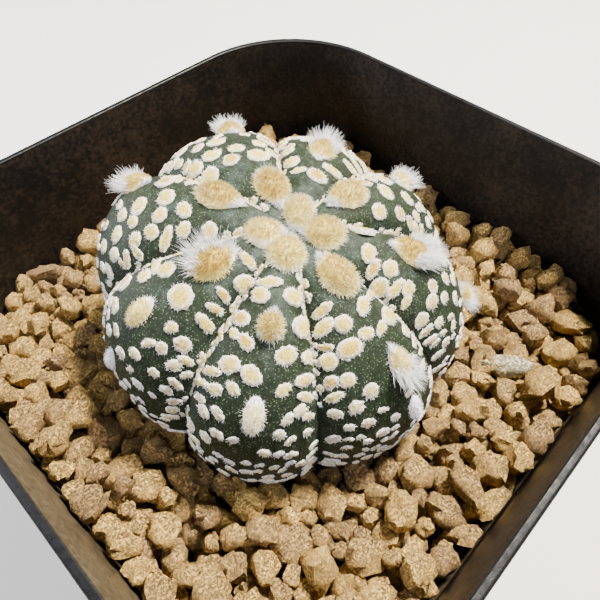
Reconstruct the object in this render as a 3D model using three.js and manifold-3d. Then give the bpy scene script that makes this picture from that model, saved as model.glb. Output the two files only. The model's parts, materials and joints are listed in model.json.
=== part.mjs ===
// A star cactus in a square plastic nursery pot, in millimetres with +Z up.
// The origin lies on the ground under the middle of the pot, whose sides run along X and Y.

import * as THREE from "three";
import { mergeVertices } from "three/addons/utils/BufferGeometryUtils.js";
import Module from "manifold-3d";

const wasm = await Module();
wasm.setup();

const DEGREE = Math.PI / 180;

// Pot: a thin moulded square with large round corners, a deep collar and a slim lip
const POT_HEIGHT = 78;
const RIM_SIDE = 90;
const FOOT_SIDE = 63;
const WALL = 1.1;
const LIP_PROUD = 0.4;
const LIP_HEIGHT = 1.8;
const LIP_ROUNDING = 0.4;
const COLLAR_DEPTH = 24.6;
const COLLAR_DRAFT = 0.9;
const COLLAR_STEP = 1.5;
const STEP_SLOPE = 0.8;
const FOOT_RECESS = 1.8;
const FOOT_WIDTH = 2.4;
const FOOT_CHAMFER = 0.8;
const FLOOR_THICKNESS = 1.2;
const CORNER_RATIO = 0.478;
const CORNER_STEPS = 6;
const DRAIN_COUNT = 8;
const DRAIN_WIDTH = 3;
const DRAIN_LENGTH = 13;
const DRAIN_RADIUS = 17;
const VENT_WIDTH = 9;
const VENT_HEIGHT = 1.1;

// Soil: baked clay granules lying on a filled bed, a finger's width below the lip
const GAP = 0.3;
const BED_DEPTH = 23.9;
const GRANULE_PITCH = 6;
const GRANULE_JITTER = 2;
const GRANULE_HEIGHT = 2.6;
const GRANULE_RISE = 1.6;
const GRANULE_TILT = 0.7;
const GRANULE_SUNK = 0.5;
const GRANULE_TOP = 0.66;
const GRANULE_ROUGHNESS = 0.36;
const GRANULE_SEED = 11;
const FACET_SEED = 12;

// Cactus: a low dome on eight ribs that leans, with its growing point off the middle
const BODY_RADIUS = 27.4;
const DOME_HEIGHT = 19;
const DOME_POWER = 2.4;
const UNDERSIDE_DEPTH = 15;
const WAIST = new THREE.Vector3(-1.8, -1.2, POT_HEIGHT - 12);
const LEAN = 13.3 * DEGREE;
const LEAN_TOWARDS = -87 * DEGREE;
const CROWN_SHIFT = new THREE.Vector2(-1.6, 1.3);
const CROWN_DIMPLE = 1.2;
const DIMPLE_RADIUS = 5.5;
const GROOVE_DEPTH = 2.9;
const GROOVE_START = 26;
const ROUND_SHARE = 0.75;
const CREASE_POWER = 12;
const FLANK_POWER = 2.5;
const CUT_FALL = 160;
const FALL_STEPS = [160, 138, 118, 103, 90, 77, 64, 52, 40, 29, 18, 8];
const RIB_STEPS = [-1, -0.84, -0.5, 0, 0.5, 0.84];

// Each rib: the groove on its clockwise side, the line of its areoles and its reach beside the rest
const RIBS = [
  { groove: -167, line: -145.5, reach: 1.01 },
  { groove: -125, line: -94, reach: 0.975 },
  { groove: -77.5, line: -47, reach: 0.99 },
  { groove: -32, line: -3.5, reach: 0.99 },
  { groove: 9, line: 30, reach: 0.97 },
  { groove: 52, line: 69, reach: 1.02 },
  { groove: 101, line: 112, reach: 1.04 },
  { groove: 147, line: 166, reach: 0.995 },
];

// Areoles: which rib, degrees down from the crown, the wool's length and width, and its kind
const AREOLES = [
  { rib: 0, fall: 5.5, length: 4.9, width: 4.6, kind: "crown" },
  { rib: 0, fall: 25.5, length: 3.2, width: 2.7, kind: "felt" },
  { rib: 0, fall: 53.5, length: 4.8, width: 2.2, kind: "worn" },
  { rib: 1, fall: 14.5, length: 5.6, width: 4.4, kind: "felt" },
  { rib: 1, fall: 46.5, length: 5.2, width: 3, kind: "plume" },
  { rib: 1, fall: 69, length: 4.2, width: 2.2, kind: "worn" },
  { rib: 2, fall: 6, length: 4.9, width: 4.4, kind: "crown" },
  { rib: 2, fall: 32, length: 5.8, width: 4.2, kind: "plume" },
  { rib: 2, fall: 71, length: 4.6, width: 3, kind: "plume" },
  { rib: 3, fall: 17.5, length: 5.5, width: 4.2, kind: "felt" },
  { rib: 3, fall: 52, length: 4.6, width: 3.4, kind: "plume" },
  { rib: 3, fall: 86, length: 4.2, width: 2.4, kind: "worn" },
  { rib: 4, fall: 4, length: 4.2, width: 3.8, kind: "crown" },
  { rib: 4, fall: 34, length: 5.4, width: 3.8, kind: "plume" },
  { rib: 4, fall: 70, length: 4.6, width: 2.8, kind: "plume" },
  { rib: 5, fall: 11, length: 5.4, width: 4.2, kind: "felt" },
  { rib: 5, fall: 54, length: 4.6, width: 3.8, kind: "plume" },
  { rib: 5, fall: 88, length: 4.2, width: 2.4, kind: "worn" },
  { rib: 6, fall: 5, length: 4.4, width: 4.1, kind: "crown" },
  { rib: 6, fall: 18, length: 5.6, width: 4.2, kind: "felt" },
  { rib: 6, fall: 53, length: 4.8, width: 3.4, kind: "plume" },
  { rib: 6, fall: 84, length: 4.2, width: 2.4, kind: "worn" },
  { rib: 7, fall: 20.5, length: 5.2, width: 4.2, kind: "plume" },
  { rib: 7, fall: 48, length: 4.6, width: 2.4, kind: "worn" },
  { rib: 7, fall: 78, length: 4, width: 2.2, kind: "worn" },
];

// Wool on an areole: a teardrop pad, and stiff tufts of hair that stand out of it
const WOOL = {
  crown: { height: 1.9, tufts: 4, hair: 2.4, sweep: 0.3 },
  felt: { height: 1.4, tufts: 3, hair: 2, sweep: 0.6 },
  plume: { height: 1.3, tufts: 4, hair: 3.2, sweep: 0.9 },
  worn: { height: 0.8, tufts: 0, hair: 0, sweep: 0 },
};
const WOOL_SIDES = 7;
const WOOL_SINK = 1.2;
const WOOL_FOOT = 1.05;
const WOOL_TOP = 0.68;
const WOOL_PINCH = 0.45;
const HAIR_RADIUS = 0.55;
const HAIR_TIP = 0.05;
const HAIR_SPREAD = 0.5;
const HAIR_SPLAY = 0.6;
const HAIR_ROOT = 0.3;
const HAIR_EVENNESS = 0.85;

// Root: one tapering taproot under the body
const ROOT_SIDES = 8;
const ROOT_PROFILE = [[1, -37], [3, -27], [4.8, -18], [7.5, -12]];
const ROOT_CLEARANCE = 0.5;
const HOLE_SIDES = 40;

// Flecks: felt pads in shallow chevron rows, large near the crown and small at the foot
const FLECK_SEED = 21;
const FLECK_ROWS = 13;
const FLECK_STEPS = 5;
const FIRST_ROW = 6.5;
const ROW_PITCH = 3.1;
const FLECK_PITCH = 3.05;
const CHEVRON = 0.3;
const FLECK_JITTER = 1.2;
const FLECK_LARGE = 2.6;
const FLECK_SMALL = 1.6;
const FLECK_HEIGHT = 0.55;
const FLECK_RIM_DEPTH = 0.2;
const FLECK_RIM_SPREAD = 1.25;
const FLECK_SINK = 1.2;
const FLECK_SIDES = 5;
const FLECK_EDGE = 0.88;
const FLECK_SMALLEST = 0.8;
const FLECK_TURN = 1.2;
const FLECK_CLEAR_OF_WOOL = 0.6;
const LOWEST_FLECK = POT_HEIGHT - 18.6;

// Solids: every shape is a loft of rings with equal counts of points, closed by a fan at each end

function centreOf(ring) {
  const centre = new THREE.Vector3();
  for (const point of ring) centre.add(point);
  return centre.divideScalar(ring.length);
}

function loft(rings, firstTip = centreOf(rings[0]), lastTip = centreOf(rings.at(-1))) {
  const sides = rings[0].length;
  const points = rings.flat();
  const firstCentre = points.push(firstTip) - 1;
  const lastCentre = points.push(lastTip) - 1;
  const index = [];
  for (let side = 0; side < sides; side++) {
    const next = (side + 1) % sides;
    index.push(firstCentre, next, side);
    for (let ring = 0; ring < rings.length - 1; ring++) {
      const low = ring * sides;
      const high = low + sides;
      index.push(low + side, low + next, high + next);
      index.push(low + side, high + next, high + side);
    }
    const top = (rings.length - 1) * sides;
    index.push(lastCentre, top + side, top + next);
  }
  const geometry = new THREE.BufferGeometry().setFromPoints(points);
  geometry.setIndex(index);
  return solidFrom(geometry);
}

function solidFrom(geometry) {
  return new wasm.Manifold(new wasm.Mesh({
    numProp: 3,
    vertProperties: new Float32Array(geometry.attributes.position.array),
    triVerts: new Uint32Array(geometry.index.array),
  }));
}

function solidFromPrimitive(geometry) {
  geometry.deleteAttribute("normal");
  geometry.deleteAttribute("uv");
  return solidFrom(mergeVertices(geometry));
}

function geometryFrom(solid) {
  const mesh = solid.getMesh();
  const geometry = new THREE.BufferGeometry();
  geometry.setAttribute("position", new THREE.BufferAttribute(mesh.vertProperties, 3));
  geometry.setIndex(new THREE.BufferAttribute(mesh.triVerts, 1));
  geometry.computeVertexNormals();
  return geometry;
}

function fuse(solids) {
  while (solids.length > 1) {
    const pairs = [];
    for (let i = 0; i < solids.length; i += 2) {
      pairs.push(i + 1 < solids.length ? solids[i].add(solids[i + 1]) : solids[i]);
    }
    solids = pairs;
  }
  return solids[0];
}

// Even draws between 0 and 1, the same each time for one seed
function seeded(seed) {
  let first = seed;
  return () => {
    const value = THREE.MathUtils.seededRandom(first);
    first = undefined;
    return value;
  };
}

function circle(radius, height, sides) {
  const ring = [];
  for (let i = 0; i < sides; i++) {
    const angle = (i / sides) * 2 * Math.PI;
    ring.push(new THREE.Vector3(radius * Math.cos(angle), radius * Math.sin(angle), height));
  }
  return ring;
}

function roundedSquare(half, height) {
  const radius = half * CORNER_RATIO;
  const ring = [];
  for (let corner = 0; corner < 4; corner++) {
    const middle = (corner + 0.5) * 0.5 * Math.PI;
    const centreX = Math.sign(Math.cos(middle)) * (half - radius);
    const centreY = Math.sign(Math.sin(middle)) * (half - radius);
    for (let step = 0; step <= CORNER_STEPS; step++) {
      const angle = (corner + step / CORNER_STEPS) * 0.5 * Math.PI;
      const x = centreX + radius * Math.cos(angle);
      const y = centreY + radius * Math.sin(angle);
      ring.push(new THREE.Vector3(x, y, height));
    }
  }
  return ring;
}

function interpolate(table, key) {
  let i = 1;
  while (i < table.length - 1 && table[i][0] < key) i++;
  const [lowKey, lowValue] = table[i - 1];
  const [highKey, highValue] = table[i];
  return lowValue + ((key - lowKey) / (highKey - lowKey)) * (highValue - lowValue);
}

// Pot

const rimHalf = RIM_SIDE / 2;
const footHalf = FOOT_SIDE / 2;
const collarTopHalf = rimHalf - LIP_PROUD;
const collarFootHalf = collarTopHalf - COLLAR_DRAFT;
const bodyTopHalf = collarFootHalf - COLLAR_STEP;
const stepTop = POT_HEIGHT - COLLAR_DEPTH;
const stepFoot = stepTop - STEP_SLOPE;
const lipFoot = POT_HEIGHT - LIP_HEIGHT;
const floorTop = FOOT_RECESS + FLOOR_THICKNESS;

const outerProfile = [
  [0, footHalf - FOOT_CHAMFER],
  [FOOT_CHAMFER, footHalf],
  [stepFoot, bodyTopHalf],
  [stepTop, collarFootHalf],
  [lipFoot, collarTopHalf],
  [lipFoot + LIP_ROUNDING, rimHalf],
  [POT_HEIGHT - LIP_ROUNDING, rimHalf],
  [POT_HEIGHT, rimHalf - LIP_ROUNDING],
];

const innerProfile = [
  [floorTop, footHalf - WALL],
  [stepFoot, bodyTopHalf - WALL],
  [stepTop + WALL, collarFootHalf - WALL],
  [lipFoot, collarTopHalf - WALL],
  [POT_HEIGHT - LIP_ROUNDING, rimHalf - WALL],
  [POT_HEIGHT, rimHalf - WALL + LIP_ROUNDING / 2],
];

function makePot() {
  const footInner = footHalf - FOOT_CHAMFER - FOOT_WIDTH;
  const rings = [roundedSquare(footInner, FOOT_RECESS), roundedSquare(footInner, 0)];
  for (const [height, half] of outerProfile) rings.push(roundedSquare(half, height));
  for (const [height, half] of innerProfile.toReversed()) rings.push(roundedSquare(half, height));
  let pot = loft(rings);
  for (let i = 0; i < DRAIN_COUNT; i++) {
    const slot = new THREE.BoxGeometry(DRAIN_LENGTH, DRAIN_WIDTH, 3 * FLOOR_THICKNESS);
    slot.translate(DRAIN_RADIUS, 0, floorTop - FLOOR_THICKNESS / 2);
    slot.rotateZ(((i + 0.5) / DRAIN_COUNT) * 2 * Math.PI);
    pot = pot.subtract(solidFromPrimitive(slot));
  }
  for (const turn of [0.25, 0.75]) {
    const vents = new THREE.BoxGeometry(RIM_SIDE, VENT_WIDTH, 2 * VENT_HEIGHT);
    vents.rotateZ(turn * Math.PI);
    pot = pot.subtract(solidFromPrimitive(vents));
  }
  return pot;
}

// Cactus body: a formula for its skin in its own frame, with the waist's middle at the origin

function wrap(angle) {
  return angle - 360 * Math.floor((angle + 180) / 360);
}

function smooth(share) {
  const t = Math.min(Math.max(share, 0), 1);
  return t * t * (3 - 2 * t);
}

for (let i = 0; i < RIBS.length; i++) {
  const rib = RIBS[i];
  const next = RIBS[(i + 1) % RIBS.length].groove;
  rib.width = wrap(next - rib.groove);
  rib.crest = rib.groove + (rib.width / 2 + wrap(rib.line - rib.groove)) / 2;
}

function ribAt(azimuth) {
  return RIBS.find((rib) => {
    const past = wrap(azimuth - rib.groove - 180) + 180;
    return past < rib.width;
  }) ?? RIBS[0];
}

function acrossRib(rib, azimuth) {
  const off = wrap(azimuth - rib.crest);
  const flank = off < 0 ? rib.crest - rib.groove : rib.groove + rib.width - rib.crest;
  return off / flank;
}

function reachAt(azimuth) {
  for (let i = 0; i < RIBS.length; i++) {
    const rib = RIBS[i];
    const next = RIBS[(i + 1) % RIBS.length];
    const span = wrap(next.crest - rib.crest);
    const past = wrap(azimuth - rib.crest);
    if (past >= 0 && past < span) return rib.reach + smooth(past / span) * (next.reach - rib.reach);
  }
  return RIBS[0].reach;
}

function profileAt(fall) {
  const sine = Math.sin(fall * DEGREE);
  const cosine = Math.cos(fall * DEGREE);
  if (cosine < 0) return [BODY_RADIUS * sine, UNDERSIDE_DEPTH * cosine];
  const power = 2 / DOME_POWER;
  return [BODY_RADIUS * sine ** power, DOME_HEIGHT * cosine ** power];
}

function skinPoint(azimuth, fall) {
  const [radius, height] = profileAt(fall);
  const reach = radius * reachAt(azimuth);
  const point = new THREE.Vector3(
    reach * Math.cos(azimuth * DEGREE),
    reach * Math.sin(azimuth * DEGREE),
    height - CROWN_DIMPLE * Math.exp(-((radius / DIMPLE_RADIUS) ** 2)) * (height > 0 ? 1 : 0),
  );
  const across = Math.abs(acrossRib(ribAt(azimuth), azimuth));
  const dip = ROUND_SHARE * across ** FLANK_POWER + (1 - ROUND_SHARE) * across ** CREASE_POWER;
  const depth = GROOVE_DEPTH * smooth(fall / GROOVE_START);
  point.addScaledVector(point.clone().normalize(), -dip * depth);
  const share = Math.max(height, 0) / DOME_HEIGHT;
  point.x += CROWN_SHIFT.x * share;
  point.y += CROWN_SHIFT.y * share;
  return point;
}

// A frame on the skin: x runs down the rib, y across it and z out of the skin
function skinFrame(azimuth, fall) {
  const nudge = 1.5;
  const down = skinPoint(azimuth, fall + nudge).sub(skinPoint(azimuth, fall - nudge)).normalize();
  const across = skinPoint(azimuth + nudge, fall).sub(skinPoint(azimuth - nudge, fall)).normalize();
  const out = down.clone().cross(across).normalize();
  const side = out.clone().cross(down);
  return new THREE.Matrix4().makeBasis(down, side, out).setPosition(skinPoint(azimuth, fall));
}

const standing = new THREE.Vector3(0, 0, 1);
const leaning = new THREE.Vector3(
  Math.sin(LEAN) * Math.cos(LEAN_TOWARDS),
  Math.sin(LEAN) * Math.sin(LEAN_TOWARDS),
  Math.cos(LEAN),
);
const bodyTurn = new THREE.Quaternion().setFromUnitVectors(standing, leaning);
const bodyPlace = new THREE.Matrix4().compose(WAIST, bodyTurn, new THREE.Vector3(1, 1, 1));

function makeSkin() {
  const rings = FALL_STEPS.map((fall) => RIBS.flatMap((rib) => RIB_STEPS.map((step) => {
    const flank = step < 0 ? rib.crest - rib.groove : rib.groove + rib.width - rib.crest;
    return skinPoint(rib.crest + step * flank, fall);
  })));
  return loft(rings);
}

function makeRoot(clearance, sides) {
  const rings = ROOT_PROFILE.map(
    ([radius, height]) => circle(radius + clearance, height - clearance, sides),
  );
  return loft(rings);
}

// A felt fleck on the skin: a low blunt cone whose root is sunk under it
function makeFleck({ azimuth, fall, size, aspect, turn }) {
  const place = skinFrame(azimuth, fall).multiply(new THREE.Matrix4().makeRotationZ(turn));
  const length = size / Math.sqrt(aspect) * FLECK_RIM_SPREAD / 2;
  const width = size * Math.sqrt(aspect) * FLECK_RIM_SPREAD / 2;
  const rim = circle(1, -FLECK_RIM_DEPTH, FLECK_SIDES).map(
    (point) => point.multiply(new THREE.Vector3(length, width, 1)).applyMatrix4(place),
  );
  const root = new THREE.Vector3(0, 0, -FLECK_SINK).applyMatrix4(place);
  const top = new THREE.Vector3(0, 0, FLECK_HEIGHT).applyMatrix4(place);
  return loft([rim], root, top);
}

// Wool: a teardrop pad pointed towards the crown, with three-sided tufts of hair
function makeWool(areole, draw) {
  const wool = WOOL[areole.kind];
  const line = RIBS[areole.rib].line;
  const place = skinFrame(line, areole.fall);
  const layers = [[WOOL_FOOT, -WOOL_SINK], [WOOL_TOP, wool.height]];
  const rings = layers.map(([scale, z]) => circle(1, 0, WOOL_SIDES).map((point) => {
    const pinch = point.x < 0 ? 1 + WOOL_PINCH * point.x : 1;
    const x = point.x * scale * areole.length / 2;
    const y = point.y * pinch * scale * areole.width / 2;
    return new THREE.Vector3(x, y, z).applyMatrix4(place);
  }));
  const solids = [loft(rings)];
  for (let i = 0; i < wool.tufts; i++) {
    const angle = ((i + 0.5 + 0.3 * draw()) / wool.tufts) * 2 * Math.PI;
    const out = new THREE.Vector3(Math.cos(angle), Math.sin(angle), 0);
    const x = out.x * HAIR_SPREAD * areole.length / 2;
    const y = out.y * HAIR_SPREAD * areole.width / 2;
    const root = new THREE.Vector3(x, y, wool.height * HAIR_ROOT);
    const heading = standing.clone().addScaledVector(out, HAIR_SPLAY);
    heading.x += wool.sweep;
    const length = wool.hair * (HAIR_EVENNESS + 2 * (1 - HAIR_EVENNESS) * draw());
    solids.push(makeTuft(root, heading.normalize(), length, place));
  }
  return fuse(solids);
}

function makeTuft(root, heading, length, place) {
  const turn = new THREE.Quaternion().setFromUnitVectors(standing, heading);
  const ends = [[HAIR_RADIUS, 0], [HAIR_TIP, length]];
  return loft(ends.map(([radius, height]) => circle(radius, height, 3).map(
    (point) => point.applyQuaternion(turn).add(root).applyMatrix4(place),
  )));
}

// Distance along the skin from the crown, in step with degrees of fall
const skinLength = [[0, 0]];
for (let fall = 1; fall <= CUT_FALL; fall++) {
  const [radius, height] = profileAt(fall);
  const [lastRadius, lastHeight] = profileAt(fall - 1);
  const length = skinLength[fall - 1][0] + Math.hypot(radius - lastRadius, height - lastHeight);
  skinLength.push([length, fall]);
}

// Every place that a fleck takes, row by row down each rib and outwards from its areoles
function fleckPlaces() {
  const draw = seeded(FLECK_SEED);
  const wool = AREOLES.map((areole) => skinPoint(RIBS[areole.rib].line, areole.fall));
  const places = [];
  for (const rib of RIBS) {
    for (let row = 0; row < FLECK_ROWS; row++) {
      for (const side of [-1, 1]) {
        for (let step = 0; step < FLECK_STEPS; step++) {
          const [slide, drop, grow, stretch, spin] = [draw(), draw(), draw(), draw(), draw()];
          const brick = row % 2 === 0 ? 0.2 : 0.7;
          const across = (step + brick) * FLECK_PITCH + (slide - 0.5) * FLECK_JITTER;
          const along = FIRST_ROW + row * ROW_PITCH + across * CHEVRON + (drop - 0.5) * FLECK_JITTER;
          const fall = interpolate(skinLength, along);
          const azimuth = rib.line + side * across / profileAt(fall)[0] / DEGREE;
          const edge = side < 0 ? rib.groove : rib.groove + rib.width;
          if (Math.abs(azimuth - rib.line) > FLECK_EDGE * Math.abs(edge - rib.line)) continue;
          const usual = FLECK_LARGE + (FLECK_SMALL - FLECK_LARGE) * smooth(fall / 90);
          const size = usual * (FLECK_SMALLEST + 2 * (1 - FLECK_SMALLEST) * grow);
          const point = skinPoint(azimuth, fall);
          const clear = wool.every((place, i) => (
            point.distanceTo(place) > AREOLES[i].length / 2 + FLECK_CLEAR_OF_WOOL + size / 2));
          if (!clear) continue;
          const aspect = 1.1 + 0.5 * stretch;
          const turn = (spin - 0.5) * FLECK_TURN;
          places.push({ azimuth, fall, size, aspect, turn, row, step, point });
        }
      }
    }
  }
  return places;
}

function makeFlecks() {
  const kept = fleckPlaces().filter(({ row, step, point }) => {
    const height = point.clone().applyMatrix4(bodyPlace).z;
    return (row + step) % 2 === 0 && height > LOWEST_FLECK;
  });
  return kept.map(makeFleck);
}

function makeCactus() {
  const draw = seeded(FACET_SEED);
  const wool = AREOLES.map((areole) => makeWool(areole, draw));
  return fuse([makeSkin(), makeRoot(0, ROOT_SIDES), ...makeFlecks(), ...wool]);
}

// Soil

const bedTop = POT_HEIGHT - BED_DEPTH;
const widestReach = Math.max(...RIBS.map((rib) => rib.reach));

function makeFill(top) {
  const levels = [floorTop + GAP, ...innerProfile.map(([height]) => height).slice(1), top]
    .filter((height) => height <= top);
  return loft(levels.map((height) => roundedSquare(interpolate(innerProfile, height) - GAP, height)));
}

function makeHole() {
  const falls = [168, 150, 138, 127, 116, 105, 95];
  const rings = falls.map((fall) => {
    const [radius, height] = profileAt(fall);
    return circle(radius * widestReach + ROOT_CLEARANCE, height - ROOT_CLEARANCE, HOLE_SIDES);
  });
  rings.push(circle(BODY_RADIUS * widestReach + ROOT_CLEARANCE, DOME_HEIGHT, HOLE_SIDES));
  return fuse([loft(rings), makeRoot(ROOT_CLEARANCE, ROOT_SIDES)]).transform(bodyPlace.elements);
}

// Granule centres: a triangular lattice over the whole pot, each point moved a little by chance
function latticeCentres() {
  const draw = seeded(GRANULE_SEED);
  const rows = Math.ceil(rimHalf / (GRANULE_PITCH * Math.sqrt(0.75))) + 1;
  const columns = Math.ceil(rimHalf / GRANULE_PITCH + rows / 2);
  const centres = [];
  for (let row = -rows; row <= rows; row++) {
    for (let column = -columns; column <= columns; column++) {
      const [jogX, jogY, rise, tiltX, tiltY] = [draw(), draw(), draw(), draw(), draw()];
      centres.push({
        row,
        column,
        x: (column + row / 2) * GRANULE_PITCH + (jogX - 0.5) * GRANULE_JITTER,
        y: row * GRANULE_PITCH * Math.sqrt(0.75) + (jogY - 0.5) * GRANULE_JITTER,
        top: bedTop + GRANULE_HEIGHT + (rise - 0.5) * GRANULE_RISE,
        tilt: [(tiltX - 0.5) * GRANULE_TILT, (tiltY - 0.5) * GRANULE_TILT],
      });
    }
  }
  return centres;
}

// The corners between a granule and its six neighbours, anticlockwise
function cellCorners(centres, { row, column }) {
  const at = (columnStep, rowStep) => centres.find(
    (other) => other.column === column + columnStep && other.row === row + rowStep,
  );
  const own = at(0, 0);
  const around = [[1, 0], [0, 1], [-1, 1], [-1, 0], [0, -1], [1, -1]].map(([c, r]) => at(c, r));
  if (around.includes(undefined)) return undefined;
  return around.map((first, i) => {
    const second = around[(i + 1) % around.length];
    return [(own.x + first.x + second.x) / 3, (own.y + first.y + second.y) / 3];
  });
}

// One granule: a rough chunk that meets its neighbours in the valleys and narrows to a tilted top
function makeGranule(granule, corners, draw) {
  const valley = (height) => corners.map(([x, y]) => new THREE.Vector3(x, y, height));
  const top = corners.map(([cornerX, cornerY]) => {
    const scale = GRANULE_TOP + (draw() - 0.5) * GRANULE_ROUGHNESS;
    const x = (cornerX - granule.x) * scale;
    const y = (cornerY - granule.y) * scale;
    const height = granule.top + x * granule.tilt[0] + y * granule.tilt[1];
    return new THREE.Vector3(granule.x + x, granule.y + y, height);
  });
  return loft([valley(bedTop - GRANULE_SUNK), valley(bedTop), top]);
}

function makeSoil() {
  const draw = seeded(FACET_SEED);
  const centres = latticeCentres();
  const granules = [];
  for (const granule of centres) {
    const corners = cellCorners(centres, granule);
    if (corners) granules.push(makeGranule(granule, corners, draw));
  }
  const half = interpolate(innerProfile, bedTop - GRANULE_SUNK) - GAP;
  const inside = loft([roundedSquare(half, bedTop - GRANULE_SUNK), roundedSquare(half, lipFoot)]);
  const bed = makeFill(bedTop - GRANULE_SUNK / 2);
  return fuse(granules).intersect(inside).add(bed).subtract(makeHole());
}

// Scene graph

function named(name, solid, material) {
  const mesh = new THREE.Mesh(geometryFrom(solid), material);
  mesh.name = name;
  return mesh;
}

const blackPlastic = new THREE.MeshStandardMaterial({ color: 0x17130f, roughness: 0.55, metalness: 0 });
const bakedClay = new THREE.MeshStandardMaterial({ color: 0xb98f5c, roughness: 0.95, metalness: 0 });
const cactusSkin = new THREE.MeshStandardMaterial({ color: 0x4d6350, roughness: 0.8, metalness: 0 });

const plant = new THREE.Group();
plant.position.copy(WAIST);
plant.quaternion.copy(bodyTurn);
plant.add(named("cactus", makeCactus(), cactusSkin));

const pottedCactus = new THREE.Group();
pottedCactus.add(named("pot", makePot(), blackPlastic));
pottedCactus.add(named("soil", makeSoil(), bakedClay));
pottedCactus.add(plant);

export default pottedCactus;
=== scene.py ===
"""A star cactus in a square nursery pot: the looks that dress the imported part.

Lengths in the rules below are millimetres, as in the part's drawing.
Meshes are in metres, with +Z up.
"""

import json
import math
from functools import partial

import bmesh
import bpy
import numpy as np
from mathutils import Matrix, Quaternion, Vector, noise

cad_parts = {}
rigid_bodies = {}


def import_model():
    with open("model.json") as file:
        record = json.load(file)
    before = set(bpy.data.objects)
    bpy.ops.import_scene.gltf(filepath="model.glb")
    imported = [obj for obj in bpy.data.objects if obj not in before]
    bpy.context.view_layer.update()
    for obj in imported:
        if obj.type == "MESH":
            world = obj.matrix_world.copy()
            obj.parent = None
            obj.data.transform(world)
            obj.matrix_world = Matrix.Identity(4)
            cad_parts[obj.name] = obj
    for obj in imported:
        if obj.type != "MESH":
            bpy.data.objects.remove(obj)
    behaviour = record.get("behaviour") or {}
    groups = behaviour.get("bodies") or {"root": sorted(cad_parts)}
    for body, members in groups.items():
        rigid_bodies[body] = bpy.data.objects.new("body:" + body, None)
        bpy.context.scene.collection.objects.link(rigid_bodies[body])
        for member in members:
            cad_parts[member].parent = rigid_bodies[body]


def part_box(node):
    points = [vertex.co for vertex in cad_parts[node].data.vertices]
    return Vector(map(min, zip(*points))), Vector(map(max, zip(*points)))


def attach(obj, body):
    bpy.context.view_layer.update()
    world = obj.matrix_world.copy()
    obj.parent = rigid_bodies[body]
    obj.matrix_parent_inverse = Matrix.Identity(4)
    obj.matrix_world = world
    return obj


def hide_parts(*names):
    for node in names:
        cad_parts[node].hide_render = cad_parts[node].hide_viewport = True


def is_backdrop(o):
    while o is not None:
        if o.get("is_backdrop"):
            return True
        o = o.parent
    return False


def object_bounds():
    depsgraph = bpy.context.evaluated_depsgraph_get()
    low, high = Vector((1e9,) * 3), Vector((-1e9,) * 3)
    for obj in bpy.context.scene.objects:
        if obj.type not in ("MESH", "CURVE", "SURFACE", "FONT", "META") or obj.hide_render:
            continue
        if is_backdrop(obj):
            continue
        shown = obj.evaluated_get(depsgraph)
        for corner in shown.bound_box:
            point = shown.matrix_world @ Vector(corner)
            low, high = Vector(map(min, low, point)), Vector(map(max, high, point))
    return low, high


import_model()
CAD_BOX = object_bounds()

bl_info = {
    "name": "Potted star cactus",
    "version": (1, 0, 0),
    "blender": (4, 5, 0),
    "location": "3D View > Sidebar > Cactus",
    "description": "Builds a woolly star cactus in clay granules and a square plastic pot",
    "category": "Object",
}

MM = 0.001
POT_LOW, POT_HIGH = (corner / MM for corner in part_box("pot"))

# Pot: the drawing's profile
POT_HEIGHT = POT_HIGH.z
RIM_HALF = POT_HIGH.x
FOOT_HALF = 31.5
WALL = 1.1
LIP_PROUD = 0.4
LIP_HEIGHT = 1.8
LIP_ROUNDING = 0.4
COLLAR_DEPTH = 24.6
COLLAR_DRAFT = 0.9
COLLAR_STEP = 1.5
STEP_SLOPE = 0.8
FOOT_RECESS = 1.8
FOOT_WIDTH = 2.4
FOOT_CHAMFER = 0.8
FLOOR_THICKNESS = 1.2
CORNER_RATIO = 0.478
CORNER_STEPS = 20
DRAIN_COUNT = 8
DRAIN_SIZE = (13, 3)
DRAIN_RADIUS = 17
VENT_SIZE = (9, 1.1)
VENT_REACH = 20
VENT_OUT = 6.3
SHARP_EDGE = math.radians(28)

# Soil: loose granules over a plain bed of the same clay
GAP = 0.3
BED_TOP = POT_HEIGHT - 23.9
BED_DROP = 3
# The bed takes the brown end of the clay's tones: painted shade in the gaps between the granules
BED_SHADE_TONE = 0.15
GRANULE_SEED = 41
GRANULE_HEIGHT = 2.6
GRANULE_RISE = 1.6
GRANULE_GRAIN = 900.0
GRANULE_EDGE = math.radians(62)
CHUNK_SHAPES = 16
CHUNK_FACES = 100
CHUNK_PLANES = 13
CHUNK_SHARPNESS = 8
POUR_EDGE = RIM_HALF - 3
POUR_PITCH = 3.6
POUR_JITTER = 2
LOOSE_DEPTH = 4
# Rings along the wall: how far inside the pour's edge, and how high over the bed's top
WALL_RINGS = ((1, 1.3), (3, -2))
WALL_PITCH = 2.9
# A heap against the wall: its middle in x and y, its spread and its height
HEAP = (-44, 2, 27, 8.5)
# A dip away from it: where it starts, how much further on in y, over what length, and its depth
HOLLOW = (14, 12, 24, 1.7)
# Settling: the rounds, how far granules sink in each, and the share of an overlap they give way
SETTLE_ROUNDS = 150
SETTLE_SINK = 0.015
SETTLE_PUSH = 0.22
# Granules whose middles start further apart than this don't push each other
SETTLE_REACH = 8
# How near granules come, as a share of their width: to each other, to the plant and to the wall
NEAR_GRANULE = 0.51
NEAR_PLANT = 0.46
NEAR_WALL = 0.47
# The one long grey-white granule of pumice that shows beside the plant
PUMICE = {
    "place": (17.4, -30.9, 57.3),
    "width": 4.4,
    "stretch": (1.75, 0.8, 0.8),
    "turn": [0.2, 0.1, -0.8],
}

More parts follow.
